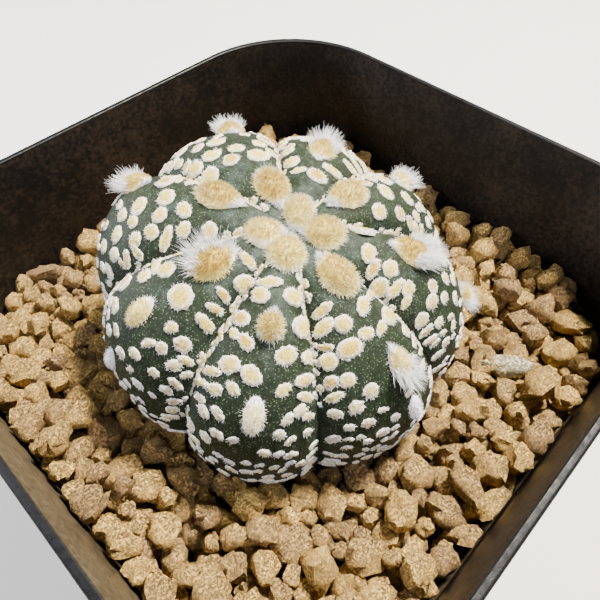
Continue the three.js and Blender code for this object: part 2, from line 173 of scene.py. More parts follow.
# Cactus: the same formula for its skin as the drawing's
BODY_RADIUS = 27.4
DOME_HEIGHT = 19
DOME_POWER = 2.4
UNDERSIDE_DEPTH = 15
WAIST = Vector((-1.8, -1.2, POT_HEIGHT - 12))
LEAN = math.radians(13.3)
LEAN_TOWARDS = math.radians(-87)
CROWN_SHIFT = (-1.6, 1.3)
CROWN_DIMPLE = 1.2
DIMPLE_RADIUS = 5.5
GROOVE_DEPTH = 2.9
GROOVE_START = 26
ROUND_SHARE = 0.75
CREASE_POWER = 12
FLANK_POWER = 2.5
CUT_FALL = 160
# The skin's mesh: points across each rib, and how far apart its rings are
SKIN_ACROSS = 28
SKIN_SPACING = 0.62

# Taproot: its sides, and its radii with their heights from the waist's middle
ROOT_SIDES = 20
ROOT_PROFILE = [(1, -37), (2.1, -32), (3, -27), (4, -22), (4.8, -18), (7.5, -12)]

# Each rib: the groove on its clockwise side, the line of its areoles and its reach beside the rest
RIBS = [
    {"groove": -167, "line": -145.5, "reach": 1.01},
    {"groove": -125, "line": -94, "reach": 0.975},
    {"groove": -77.5, "line": -47, "reach": 0.99},
    {"groove": -32, "line": -3.5, "reach": 0.99},
    {"groove": 9, "line": 30, "reach": 0.97},
    {"groove": 52, "line": 69, "reach": 1.02},
    {"groove": 101, "line": 112, "reach": 1.04},
    {"groove": 147, "line": 166, "reach": 0.995},
]

# Areoles: rib, degrees down from the crown, the wool's length and width, its kind, how white it
# is and how many degrees it stands off its rib's line
AREOLES = [
    (0, 5.5, 5.2, 4.8, "crown", 0.38, 0),
    (0, 25.5, 3.2, 2.7, "felt", 0.3, 0),
    (0, 53.5, 4.8, 2.6, "worn", 0.6, 0),
    (1, 14.5, 5.8, 4.6, "felt", 0.2, 0),
    (1, 46.5, 4.4, 3, "plume", 0.5, 0),
    (1, 69, 4.2, 2.2, "worn", 0.9, 0),
    (2, 6, 5.2, 4.8, "crown", 0.3, 0),
    (2, 32, 5.8, 4.4, "fan", 0.1, 0),
    (2, 71, 4.6, 3, "plume", 0.35, 0),
    (3, 17.5, 5.8, 4.4, "felt", 0.25, 0),
    (3, 52, 4.6, 3.4, "plume", 0.5, 0),
    (3, 86, 4.2, 2.4, "worn", 0.9, 0),
    (4, 4, 4.8, 4, "crown", 0.45, 0),
    (4, 34, 5.4, 3.8, "plume", 0.2, 0),
    (4, 70, 4.6, 2.8, "plume", 0.9, 0),
    (5, 11, 5.6, 4.4, "felt", 0.15, 0),
    (5, 54, 4.6, 3.8, "plume", 0.2, 0),
    (5, 88, 4.2, 2.4, "worn", 0.9, 0),
    (6, 5.5, 4.8, 4.4, "crown", 0.4, 38),
    (6, 18, 5.8, 4.4, "felt", 0.15, 0),
    (6, 53, 4.8, 3.4, "plume", 0.25, 0),
    (6, 84, 4.2, 2.4, "worn", 0.9, 0),
    (7, 20.5, 5.4, 4.4, "tuft", 0.1, 0),
    (7, 48, 4.6, 2.8, "worn", 0.4, 0),
    (7, 78, 4, 2.2, "worn", 0.9, 0),
]

# Wool by kind: the pad's height and how pinched its end near the crown is, its short hairs, and
# the long white ones with their number, their length and their lean off the rib's line, degrees
WOOL = {
    "crown": {"height": 1.6, "pinch": 0.85, "hairs": 1500, "hair": 0.62, "plume": (0, 0, 0)},
    "felt": {"height": 1.4, "pinch": 0.85, "hairs": 1500, "hair": 0.55, "plume": (60, 1.2, 0)},
    "plume": {"height": 1.3, "pinch": 0.85, "hairs": 1100, "hair": 0.45, "plume": (420, 3.2, 0)},
    "fan": {"height": 1.4, "pinch": 0.85, "hairs": 1100, "hair": 0.45, "plume": (850, 3.3, 0)},
    "tuft": {"height": 1.4, "pinch": 0.85, "hairs": 1300, "hair": 0.5, "plume": (300, 3.4, -75)},
    "worn": {"height": 0.7, "pinch": 0.2, "hairs": 420, "hair": 0.4, "plume": (0, 0, 0)},
}
# The pads' rings and sunken foot, how deep hairs are rooted, and how far plumes bend
WOOL_SEED = 71
WOOL_SIDES = 24
WOOL_SHARES = [1.04, 0.99, 0.92, 0.82, 0.7, 0.55, 0.38, 0.2]
WOOL_FOOT = -0.9
HAIR_SUNK = 0.12
PLUME_BEND = 12.0

# Flecks: the drawing's rows, then small late ones strewn between them
FLECK_SEED = 21
FLECK_ROWS = 13
FLECK_STEPS = 5
FIRST_ROW = 6.5
ROW_PITCH = 3.1
FLECK_PITCH = 3.05
CHEVRON = 0.3
FLECK_JITTER = 1.2
FLECK_LARGE = 2.6
FLECK_SMALL = 1.6
FLECK_EDGE = 0.88
FLECK_SMALLEST = 0.8
FLECK_TURN = 1.2
FLECK_CLEAR_OF_WOOL = 0.6
LATE_FLECK_SEED = 31
LATE_FLECK_TRIES = 300
# Where bars stand along a groove's edges, and where its crumbs and its thread start
BAR_SPAN = (6.0, 44)
CRUMB_START = 4.4
THREAD_START = 4.2
THREAD_STEP = 0.45
THREAD_SEED = 61
# The share of flecks missing near the soil and along the ridges
FOOT_BARE = 0.85
RIDGE_BARE = 0.75
# The felt pads: how near they come, as a share of their sizes, and their form
FELT_SEED = 51
FELT_CLEAR = 0.52
PAD_SIDES = 20
PAD_PROFILE = [(1.0, -1.2), (1.0, 0.25), (0.76, 0.84)]
PAD_SCALLOP = 0.03
# The felt's unevenness in metres, its grain per metre, and the threads' width
FLECK_FELT = {"Raggedness": 0.001, "Grain": 1900.0}
THREAD_FELT = {"Raggedness": 0.0008, "Grain": 1800.0, "Width": 0.3 * MM}

# Lights: name, place and size in metres, share of the main light's power, colour
LIGHTS = [
    ("main_light", (0.32, -0.04, 0.65), 0.13, 1, "#fff7ea"),
    ("rim_light", (-0.32, 0.6, 0.32), 0.3, 0.4, "#f2f5ff"),
    ("side_light", (-0.3, -0.45, 0.6), 0.45, 0.16, "#f1f4ff"),
]
ROOM_HEX = "#e9e9ea"
ROOM_LIGHT = 0.36
FLOOR_HALF = 2500
LIGHTS_AIM = Vector((0, 0, 0.06))

# Camera: pitch down, yaw from +Y and roll in degrees, place in metres, lens in millimetres
CAMERA_TURN = (52.2, 45.06, -0.82)
CAMERA_PLACE = (-0.038, -0.04, 0.1339)
CAMERA_LENS = 33.4


def seeded(seed):
    """Even draws between 0 and 1, the same sequence as the drawing's."""
    state = seed & 0xFFFFFFFF

    def draw():
        nonlocal state
        state = (state + 0x6D2B79F5) & 0xFFFFFFFF
        t = state
        t = ((t ^ (t >> 15)) * (t | 1)) & 0xFFFFFFFF
        t ^= (t + (((t ^ (t >> 7)) * (t | 61)) & 0xFFFFFFFF)) & 0xFFFFFFFF
        return ((t ^ (t >> 14)) & 0xFFFFFFFF) / 4294967296

    return draw


def smooth(share):
    t = min(max(share, 0), 1)
    return t * t * (3 - 2 * t)


def interpolate(table, key):
    keys, values = zip(*table)
    return float(np.interp(key, keys, values))


def linear(code):
    """A colour picker's sRGB hex code as linear red, green and blue."""
    channels = [int(code[i : i + 2], 16) / 255 for i in (1, 3, 5)]
    return [c / 12.92 if c <= 0.04045 else ((c + 0.055) / 1.055) ** 2.4 for c in channels]


def rounded_square(half, height):
    radius = half * CORNER_RATIO
    ring = []
    for corner in range(4):
        middle = (corner + 0.5) * math.pi / 2
        centre_x = math.copysign(half - radius, math.cos(middle))
        centre_y = math.copysign(half - radius, math.sin(middle))
        for step in range(CORNER_STEPS + 1):
            angle = (corner + step / CORNER_STEPS) * math.pi / 2
            x = centre_x + radius * math.cos(angle)
            y = centre_y + radius * math.sin(angle)
            ring.append((x, y, height))
    return ring


def depth_in_square(x, y, half):
    """How far inside a rounded square a point lies."""
    radius = half * CORNER_RATIO
    over_x = abs(x) - (half - radius)
    over_y = abs(y) - (half - radius)
    outside = math.hypot(max(over_x, 0), max(over_y, 0))
    return radius - outside - min(max(over_x, over_y), 0)


# Cactus body, in its own frame with the waist's middle at the origin


def wrap(angle):
    return angle - 360 * math.floor((angle + 180) / 360)


for place, rib in enumerate(RIBS):
    rib["width"] = wrap(RIBS[(place + 1) % len(RIBS)]["groove"] - rib["groove"])
    rib["crest"] = rib["groove"] + (rib["width"] / 2 + wrap(rib["line"] - rib["groove"])) / 2


def rib_at(azimuth):
    for rib in RIBS:
        if wrap(azimuth - rib["groove"] - 180) + 180 < rib["width"]:
            return rib
    return RIBS[0]


def across_rib(rib, azimuth):
    off = wrap(azimuth - rib["crest"])
    if off < 0:
        return off / (rib["crest"] - rib["groove"])
    return off / (rib["groove"] + rib["width"] - rib["crest"])


def reach_at(azimuth):
    for i, rib in enumerate(RIBS):
        following = RIBS[(i + 1) % len(RIBS)]
        span = wrap(following["crest"] - rib["crest"])
        past = wrap(azimuth - rib["crest"])
        if 0 <= past < span:
            return rib["reach"] + smooth(past / span) * (following["reach"] - rib["reach"])
    return RIBS[0]["reach"]


def profile_at(fall):
    sine = math.sin(math.radians(fall))
    cosine = math.cos(math.radians(fall))
    if cosine < 0:
        return BODY_RADIUS * sine, UNDERSIDE_DEPTH * cosine
    power = 2 / DOME_POWER
    return BODY_RADIUS * max(sine, 0) ** power, DOME_HEIGHT * cosine**power


def skin_point(azimuth, fall):
    radius, height = profile_at(fall)
    reach = radius * reach_at(azimuth)
    dimple = CROWN_DIMPLE * math.exp(-((radius / DIMPLE_RADIUS) ** 2)) if height > 0 else 0
    angle = math.radians(azimuth)
    point = Vector((reach * math.cos(angle), reach * math.sin(angle), height - dimple))
    across = abs(across_rib(rib_at(azimuth), azimuth))
    dip = ROUND_SHARE * across**FLANK_POWER + (1 - ROUND_SHARE) * across**CREASE_POWER
    point -= point.normalized() * (dip * GROOVE_DEPTH * smooth(fall / GROOVE_START))
    share = max(height, 0) / DOME_HEIGHT
    point.x += CROWN_SHIFT[0] * share
    point.y += CROWN_SHIFT[1] * share
    return point


BODY_TURN = Vector((0, 0, 1)).rotation_difference(
    Vector(
        (
            math.sin(LEAN) * math.cos(LEAN_TOWARDS),
            math.sin(LEAN) * math.sin(LEAN_TOWARDS),
            math.cos(LEAN),
        )
    )
)
BODY_PLACE = Matrix.Translation(WAIST) @ BODY_TURN.to_matrix().to_4x4()


def skin_frame(azimuth, fall):
    """A frame on the skin, in the pot's frame: x down the rib, y across it, z out of the skin."""
    nudge = 1.5
    down = (skin_point(azimuth, fall + nudge) - skin_point(azimuth, fall - nudge)).normalized()
    across = (skin_point(azimuth + nudge, fall) - skin_point(azimuth - nudge, fall)).normalized()
    out = down.cross(across).normalized()
    turn = Matrix((down, out.cross(down), out)).transposed().to_4x4()
    return BODY_PLACE @ Matrix.Translation(skin_point(azimuth, fall)) @ turn


def skin_lengths():
    """Distance along the skin from the crown, in step with degrees of fall."""
    table = [(0, 0)]
    for fall in range(1, CUT_FALL + 1):
        step = math.dist(profile_at(fall), profile_at(fall - 1))
        table.append((table[-1][0] + step, fall))
    return table


SKIN_LENGTHS = skin_lengths()
AREOLE_POINTS = [skin_point(RIBS[a[0]]["line"] + a[6], a[1]) for a in AREOLES]


def row_flecks():
    """The flecks of the drawing: row by row down each rib and outwards from its areoles."""
    draw = seeded(FLECK_SEED)
    places = []
    for rib in RIBS:
        for row in range(FLECK_ROWS):
            for side in (-1, 1):
                for step in range(FLECK_STEPS):
                    slide, drop, grow, stretch, spin = (draw() for _ in range(5))
                    brick = 0.2 if row % 2 == 0 else 0.7
                    across = (step + brick) * FLECK_PITCH + (slide - 0.5) * FLECK_JITTER
                    along = FIRST_ROW + row * ROW_PITCH + across * CHEVRON
                    along += (drop - 0.5) * FLECK_JITTER
                    fall = interpolate(SKIN_LENGTHS, along)
                    azimuth = rib["line"] + side * math.degrees(across / profile_at(fall)[0])
                    edge = rib["groove"] if side < 0 else rib["groove"] + rib["width"]
                    if abs(azimuth - rib["line"]) > FLECK_EDGE * abs(edge - rib["line"]):
                        continue
                    usual = FLECK_LARGE + (FLECK_SMALL - FLECK_LARGE) * smooth(fall / 90)
                    size = usual * (FLECK_SMALLEST + 2 * (1 - FLECK_SMALLEST) * grow)
                    point = skin_point(azimuth, fall)
                    if not clear_of_wool(point, size):
                        continue
                    aspect = 1.1 + 0.5 * stretch
                    turn = (spin - 0.5) * FLECK_TURN
                    places.append((azimuth, fall, size, aspect, turn, point))
    return places


def clear_of_wool(point, size):
    return all(
        (point - place).length > areole[2] / 2 + FLECK_CLEAR_OF_WOOL + size / 2
        for place, areole in zip(AREOLE_POINTS, AREOLES)
    )


def bareness(azimuth, fall):
    """How likely a fleck is left out: near the soil, and along the ridges below the upper wool."""
    ridge = 1 - smooth((abs(across_rib(rib_at(azimuth), azimuth)) - 0.12) / 0.2)
    ridge *= smooth((fall - 30) / 12) * (1 - smooth((fall - 62) / 15))
    return max(FOOT_BARE * smooth((fall - 77) / 20), RIDGE_BARE * ridge)


def late_flecks(rows):
    """Flecks between the rows, bars along the grooves' edges and crumbs of felt in the grooves."""
    draw = seeded(LATE_FLECK_SEED)
    taken = [(point, size) for _, _, size, _, _, point in rows]
    places = []

    def try_place(azimuth, fall, size, aspect, turn, room):
        point = skin_point(azimuth, fall)
        if not clear_of_wool(point, size):
            return
        if any((point - other).length < (size + width) / 2 + room for other, width in taken):
            return
        taken.append((point, size))
        places.append((azimuth, fall, size, aspect, turn, point))

    for rib in RIBS:
        # Bars along both of a groove's edges, sparser further down
        for edge, side in ((rib["groove"], 1), (rib["groove"] + rib["width"], -1)):
            length = BAR_SPAN[0]
            while length < BAR_SPAN[1]:
                fall = interpolate(SKIN_LENGTHS, length)
                size = (2.15 - 0.75 * smooth(fall / 70)) * (0.75 + 0.5 * draw())
                inset = math.degrees((0.7 + 0.45 * size + 0.6 * draw()) / profile_at(fall)[0])
                turn = side * (draw() - 0.35) * 0.8
                if draw() < 0.85 - 0.4 * smooth((fall - 38) / 30):
                    try_place(edge + side * inset, fall, size, 1.6 + 1.1 * draw(), turn, -0.35)
                length += size * (0.5 + 0.3 * draw())
        # Small flecks wherever the rows leave room
        for _ in range(LATE_FLECK_TRIES):
            share, sink, grow, stretch, spin, slide = (draw() for _ in range(6))
            fall = 13 + 107 * sink**0.85
            azimuth = rib["groove"] + rib["width"] * (0.06 + 0.88 * share)
            size = (2.7 - 1.5 * smooth((fall - 12) / 60)) * (0.7 + 0.55 * grow)
            lateral = across_rib(rib, azimuth)
            if slide < bareness(azimuth, fall):
                continue
            turn = math.copysign(1.0, lateral) * 0.5 + (spin - 0.5) * 0.9
            room = 0.16 + 0.2 * smooth((fall - 50) / 20)
            try_place(azimuth, fall, size, 1.1 + 1.1 * stretch * smooth(fall / 50), turn, room)
        # Crumbs of felt down the groove, from near the crown
        reach = 24 + 12 * draw()
        length = CRUMB_START
        while length < reach:
            fall = interpolate(SKIN_LENGTHS, length)
            sway = math.degrees((draw() - 0.5) * 1.1 / profile_at(fall)[0])
            size = 0.65 + 0.75 * draw() ** 1.5
            point = skin_point(rib["groove"] + sway, fall)
            if clear_of_wool(point, -0.6):
                azimuth = rib["groove"] + sway
                places.append((azimuth, fall, size, 0.45 + 0.9 * draw(), draw(), point))
            length += 0.38 + 0.5 * draw() + 0.5 * smooth((length - 16) / 14)
    return places


# Meshes and nodes


def mesh_object(name, vertices, faces, material, attributes=None, edges=()):
    """A smooth-shaded mesh object from points in millimetres."""
    mesh = bpy.data.meshes.new(name)
    mesh.from_pydata([tuple(MM * c for c in v) for v in vertices], edges, faces)
    for key, values in (attributes or {}).items():
        kind = "FLOAT" if np.ndim(values) == 1 else "FLOAT_VECTOR"
        field = "value" if kind == "FLOAT" else "vector"
        data = mesh.attributes.new(key, kind, "POINT").data
        data.foreach_set(field, np.asarray(values, np.float32).ravel())
    mesh.polygons.foreach_set("use_smooth", [True] * len(mesh.polygons))
    if material:
        mesh.materials.append(material)
    mesh.update()
    thing = bpy.data.objects.new(name, mesh)
    bpy.context.collection.objects.link(thing)
    return thing


def loft_faces(rings, sides, first_cap=True, last_cap=True):
    """Quads between rings of points, and a fan to a centre point that follows the last ring."""
    faces = []
    for ring in range(rings - 1):
        for side in range(sides):
            following = (side + 1) % sides
            low, high = ring * sides, (ring + 1) * sides
            faces.append((low + side, low + following, high + following, high + side))
    centre = rings * sides
    if first_cap:
        faces += [(centre, (s + 1) % sides, s) for s in range(sides)]
        centre += 1
    if last_cap:
        top = (rings - 1) * sides
        faces += [(centre, top + s, top + (s + 1) % sides) for s in range(sides)]
    return faces


def loft(rings, first_cap=True, last_cap=True):
    """Vertices and faces of a form through rings of equal counts, with its ends closed."""
    vertices = [point for ring in rings for point in ring]
    if first_cap:
        vertices.append(tuple(np.mean(np.array(rings[0]), axis=0)))
    if last_cap:
        vertices.append(tuple(np.mean(np.array(rings[-1]), axis=0)))
    return vertices, loft_faces(len(rings), len(rings[0]), first_cap, last_cap)


def add_node(tree, kind, inputs=None, **settings):
    """Adds a node with inputs (values, sockets or nodes, by name or number) and its settings."""
    node = tree.nodes.new(kind)
    for key, value in settings.items():
        setattr(node, key, value)
    for key, value in (inputs or {}).items():
        if isinstance(value, bpy.types.Node):
            value = next(socket for socket in value.outputs if socket.enabled)
        if isinstance(value, bpy.types.NodeSocket):
            tree.links.new(value, node.inputs[key])
        else:
            node.inputs[key].default_value = value
    return node


def new_tree(name, **inputs):
    """An empty geometry tree with inputs by socket kind, its node adder and its group input."""
    tree = bpy.data.node_groups.new(name, "GeometryNodeTree")
    tree.interface.new_socket("Geometry", in_out="INPUT", socket_type="NodeSocketGeometry")
    for label, kind in inputs.items():
        tree.interface.new_socket(label, in_out="INPUT", socket_type=f"NodeSocket{kind}")
    tree.interface.new_socket("Geometry", in_out="OUTPUT", socket_type="NodeSocketGeometry")
    add = partial(add_node, tree)
    return tree, add, add("NodeGroupInput")


def grow(thing, tree, values):
    """Runs a geometry tree on an object and leaves a plain mesh in its place."""
    modifier = thing.modifiers.new(tree.name, "NODES")
    modifier.node_group = tree
    for item in tree.interface.items_tree:
        if item.in_out == "INPUT" and item.name in values:
            modifier[item.identifier] = values[item.name]
    return bake(thing)


def bake(thing):
    graph = bpy.context.evaluated_depsgraph_get()
    done = bpy.data.meshes.new_from_object(
        thing.evaluated_get(graph), preserve_all_data_layers=True, depsgraph=graph
    )
    old = thing.data
    thing.modifiers.clear()
    thing.data = done
    done.name = thing.name
    bpy.data.meshes.remove(old)
    return thing


def scatter(name, material, tree, values, points, edges=(), **attributes):
    """Points with attributes that a geometry tree turns into a piece of one material."""
    cloud = mesh_object(name, points, [], material, attributes, edges)
    return grow(cloud, tree, {**values, "Material": material})


def finish_piece(thing, slot, *replaced):
    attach(thing, "root")
    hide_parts(*replaced)


# Materials

POWDER_AND_LIT_WALL_HEX = "#5e5340"
CLEAN_SHADED_LIP_HEX = "#060709"
# Tints for the clay: painted shade in its pits, painted light on its faces
CLAY_PIT_SHADE_TINT = [0.3, 0.35, 0.56, 1]
CLAY_FACE_LIGHT_TINT = [1.24, 1.2, 1.1, 1]
CORK_HEX = "#5e4c31"
GROOVE_SHADE_HEX = "#1c271d"
STOMATA_HEX = "#939c86"
OLD_FELT_SHADED_HEX = "#dad7cb"
WHITE_HEX = "#ffffff"


def rgba(code):
    return [*linear(code), 1]


def new_material(name):
    """An empty material, its node adder and the object's coordinates."""
    material = bpy.data.materials.new(name)
    material.use_nodes = True
    material.node_tree.nodes.clear()
    add = partial(add_node, material.node_tree)
    return material, add, add("ShaderNodeTexCoord").outputs["Object"]


def set_stops(ramp, stops):
    """Gives a colour ramp its stops: (position, sRGB hex code)."""
    elements = ramp.color_ramp.elements
    elements[0].position = stops[0][0]
    elements[1].position = stops[-1][0]
    for position, _ in stops[1:-1]:
        elements.new(position)
    for element, (_, code) in zip(elements, stops):
        element.color = rgba(code)


def coat(add, inputs):
    """Ends a material with its one shader."""
    add("ShaderNodeOutputMaterial", {"Surface": add("ShaderNodeBsdfPrincipled", inputs)})


def moulded_polypropylene(settings):
    """Moulded black polypropylene: satin black, browned inside by clay dust, paler towards -X
    partly as painted light, with a lip darkened by painted shade.
    """
    material, add, where = new_material("moulded polypropylene, dusty")
    # Clouds of brown dust some 12 mm across, broken by a finer grain
    clouds = add(
        "ShaderNodeTexNoise", {"Vector": where, "Scale": 85, "Detail": 8, "Roughness": 0.72}
    )
    grain = add(
        "ShaderNodeTexNoise", {"Vector": where, "Scale": 1400, "Detail": 3, "Roughness": 0.6}
    )
    blend = add("ShaderNodeMath", {0: clouds, 1: grain}, operation="MULTIPLY")
    # Inner faces look towards the pot's axis; the outside keeps only a film of the dust
    across = add("ShaderNodeVectorMath", {0: where, 1: (1, 1, 0)}, operation="MULTIPLY")
    normal = add("ShaderNodeNewGeometry").outputs["Normal"]
    facing = add("ShaderNodeVectorMath", {0: across, 1: normal}, operation="DOT_PRODUCT")
    inside = add("ShaderNodeMapRange", {"Value": facing, "From Min": 0.005, "From Max": -0.005})
    dust = add(
        "ShaderNodeMapRange", {"Value": blend, "From Min": 0.2, "From Max": 0.38, "To Max": 0.85}
    )
    held = add("ShaderNodeMapRange", {"Value": inside, "To Min": 0.25, "To Max": 1})
    film = add("ShaderNodeMath", {0: dust, 1: held}, operation="MULTIPLY")
    body = add(
        "ShaderNodeMix",
        {0: film, 6: rgba(settings.colour_hex), 7: rgba(settings.dust_hex)},
        data_type="RGBA",
    )
    # Powder lies thick on the ledge inside the collar's step, and on the wall towards -X, where
    # part of its paleness is painted light
    axes = add("ShaderNodeSeparateXYZ", {0: where})
    lit_wall_and_powder = add(
        "ShaderNodeMapRange",
        {"Value": axes.outputs["X"], "From Min": -0.038, "From Max": -0.043, "To Max": 2.2},
    )
    ledge_top = POT_HEIGHT - COLLAR_DEPTH + WALL
    ledge = add(
        "ShaderNodeMapRange",
        {
            "Value": axes.outputs["Z"],
            "From Min": (ledge_top + 0.5) * MM,
            "From Max": ledge_top * MM,
            "To Max": 1.0,
        },
    )
    powder_and_light = add("ShaderNodeMath", {0: lit_wall_and_powder, 1: ledge}, operation="MAXIMUM")
    inner_powder_and_light = add("ShaderNodeMath", {0: powder_and_light, 1: inside}, operation="MULTIPLY")
    powder_and_light_share = add("ShaderNodeMath", {0: inner_powder_and_light, 1: blend}, operation="MULTIPLY")
    powdered_and_lit = add(
        "ShaderNodeMix", {0: powder_and_light_share, 6: body, 7: rgba(POWDER_AND_LIT_WALL_HEX)}, data_type="RGBA"
    )
    # The lip's top half millimetre is wiped clean of dust and is darker than the plastic: painted
    # shade
    lip = add(
        "ShaderNodeMapRange",
        {
            "Value": axes.outputs["Z"],
            "From Min": (POT_HEIGHT - 0.45) * MM,
            "From Max": (POT_HEIGHT - 0.05) * MM,
        },
    )
    colour = add(
        "ShaderNodeMix", {0: lip, 6: powdered_and_lit, 7: rgba(CLEAN_SHADED_LIP_HEX)}, data_type="RGBA"
    )
    rough = add(
        "ShaderNodeMapRange",
        {"Value": blend, "From Min": 0.15, "From Max": 0.4, "To Min": 0.4, "To Max": 0.66},
    )
    bump = add("ShaderNodeBump", {"Height": blend, "Strength": 0.45, "Distance": 0.00025})
    look = {"Base Color": colour, "Roughness": rough, "Normal": bump}
    coat(add, {**look, "IOR": 1.49, "Specular IOR Level": 0.2})
    return material


def baked_clay(settings):
    """Baked clay granules: matte and porous, yellow-tan with browner ones, pitted all over."""
    material, add, where = new_material("baked clay granule")
    tone = add("ShaderNodeAttribute", attribute_name="tone").outputs["Fac"]
    ramp = add("ShaderNodeValToRGB", {0: tone})
    set_stops(
        ramp,
        [
            (0.0, settings.dark_hex),
            (0.75, settings.light_hex),
            (0.96, settings.light_hex),
            (1.0, settings.pumice_hex),
        ],
    )
    # Lumps some 1.5 mm across, and pits 0.4 mm across
    lumps = add(
        "ShaderNodeTexNoise", {"Vector": where, "Scale": 620, "Detail": 5, "Roughness": 0.65}
    )
    pits = add(
        "ShaderNodeTexNoise", {"Vector": where, "Scale": 3000, "Detail": 6, "Roughness": 0.85}
    )
    filled = add(
        "ShaderNodeMapRange", {"Value": pits, "From Min": 0.34, "From Max": 0.52, "To Max": 1.0}
    )
    height = add("ShaderNodeMath", {0: lumps, 1: 1.6, 2: filled}, operation="MULTIPLY_ADD")
    # Painted shade in the pits, and the lumps' tops paler, partly rubbed and partly painted light
    pit_shading = add(
        "ShaderNodeMapRange", {"Value": pits, "From Min": 0.3, "From Max": 0.6, "To Max": 0.85}
    )
    worn = add(
        "ShaderNodeMapRange",
        {"Value": lumps, "From Min": 0.35, "From Max": 0.65, "To Min": -0.2, "To Max": 0.2},
    )
    lit = add("ShaderNodeMath", {0: pit_shading, 1: worn}, operation="ADD", use_clamp=True)
    shade = add("ShaderNodeMix", {0: lit, 6: CLAY_PIT_SHADE_TINT, 7: CLAY_FACE_LIGHT_TINT}, data_type="RGBA")
    colour = add(
        "ShaderNodeMix", {0: 1.0, 6: ramp, 7: shade}, data_type="RGBA", blend_type="MULTIPLY"
    )
    # Darker below the bed's face: partly damper clay, partly painted shade between the granules
    height_in_pot = add("ShaderNodeSeparateXYZ", {0: where}).outputs["Z"]
    damp_and_shade = add(
        "ShaderNodeMapRange",
        {
            "Value": height_in_pot,
            "From Min": (BED_TOP - 2) * MM,
            "From Max": (BED_TOP + 2) * MM,
            "To Min": 0.4,
            "To Max": 1,
        },
    )
    damped_and_shaded = add("ShaderNodeVectorMath", {0: colour, "Scale": damp_and_shade}, operation="SCALE")
    bump = add("ShaderNodeBump", {"Height": height, "Strength": 1.0, "Distance": 0.0005})
    look = {"Base Color": damped_and_shaded, "Roughness": 0.95, "Normal": bump}
    coat(add, {**look, "IOR": 1.45, "Specular IOR Level": 0.2})
    return material


def plant_skin(settings):
    """Waxy cactus skin: dark green, grey bloom near the crown, pale specks and a corky foot."""
    material, add, where = new_material("waxy cactus skin")
    fall = add("ShaderNodeAttribute", attribute_name="fall").outputs["Fac"]
    groove = add("ShaderNodeAttribute", attribute_name="groove").outputs["Fac"]
    clouds = add(
        "ShaderNodeTexNoise", {"Vector": where, "Scale": 210, "Detail": 7, "Roughness": 0.66}
    )
    wobble = add("ShaderNodeMath", {0: clouds, 1: 0.16, 2: fall}, operation="MULTIPLY_ADD")
    # Darker down the underside: painted shade under the body, then corky near the foot
    ramp = add("ShaderNodeValToRGB", {0: wobble})
    set_stops(
        ramp,
        [
            (0.0, settings.skin_hex),
            (0.4, settings.skin_hex),
            (0.66, settings.shade_hex),
            (0.8, settings.shade_hex),
            (0.95, CORK_HEX),
        ],
    )
    # Bloom: grey wax in patches some 5 mm across, thick near the crown and rubbed off lower down
    thin_out = add(
        "ShaderNodeMapRange",
        {"Value": fall, "From Min": 0.03, "From Max": 0.36, "To Min": 0.05, "To Max": -0.28},
    )
    patches = add("ShaderNodeMath", {0: clouds, 1: thin_out}, operation="ADD")
    haze = add(
        "ShaderNodeMapRange",
        {"Value": patches, "From Min": 0.44, "From Max": 0.74, "To Max": 0.85},
    )
    bloomed = add(
        "ShaderNodeMix", {0: haze, 6: ramp, 7: rgba(settings.bloom_hex)}, data_type="RGBA"
    )
    # Painted shade darkens the grooves
    deep = add(
        "ShaderNodeMapRange", {"Value": groove, "From Min": 0.6, "From Max": 1.0, "To Max": 0.75}
    )
    shaded = add("ShaderNodeMix", {0: deep, 6: bloomed, 7: rgba(GROOVE_SHADE_HEX)}, data_type="RGBA")
    # Mottling some 1 mm across
    grain = add(
        "ShaderNodeTexNoise", {"Vector": where, "Scale": 950, "Detail": 6, "Roughness": 0.75}
    )
    blotch = add(
        "ShaderNodeMapRange",
        {"Value": grain, "From Min": 0.32, "From Max": 0.68, "To Min": 0.45, "To Max": 1.6},
    )
    blotched = add(
        "ShaderNodeMix", {0: 1.0, 6: shaded, 7: blotch}, data_type="RGBA", blend_type="MULTIPLY"
    )
    # Stomata and hair stubs: pale specks 0.12 mm across and 0.3 mm apart, in drifts
    specks = add("ShaderNodeTexVoronoi", {"Vector": where, "Scale": 3300, "Randomness": 1})
    speck = add(
        "ShaderNodeMapRange", {"Value": specks, "From Min": 0.34, "From Max": 0.14, "To Max": 1.0}
    )
    drift = add(
        "ShaderNodeMapRange",
        {"Value": grain, "From Min": 0.36, "From Max": 0.6, "To Min": 0.05, "To Max": 0.5},
    )
    showing = add("ShaderNodeMath", {0: speck, 1: drift}, operation="MULTIPLY")
    colour = add(
        "ShaderNodeMix", {0: showing, 6: blotched, 7: rgba(STOMATA_HEX)}, data_type="RGBA"
    )
    height = add("ShaderNodeMath", {0: showing, 1: 0.8, 2: grain}, operation="MULTIPLY_ADD")
    bump = add("ShaderNodeBump", {"Height": height, "Strength": 0.7, "Distance": 0.0002})
    look = {"Base Color": colour, "Roughness": 0.6, "Normal": bump}
    coat(add, {**look, "IOR": 1.42, "Specular IOR Level": 0.25})
    return material


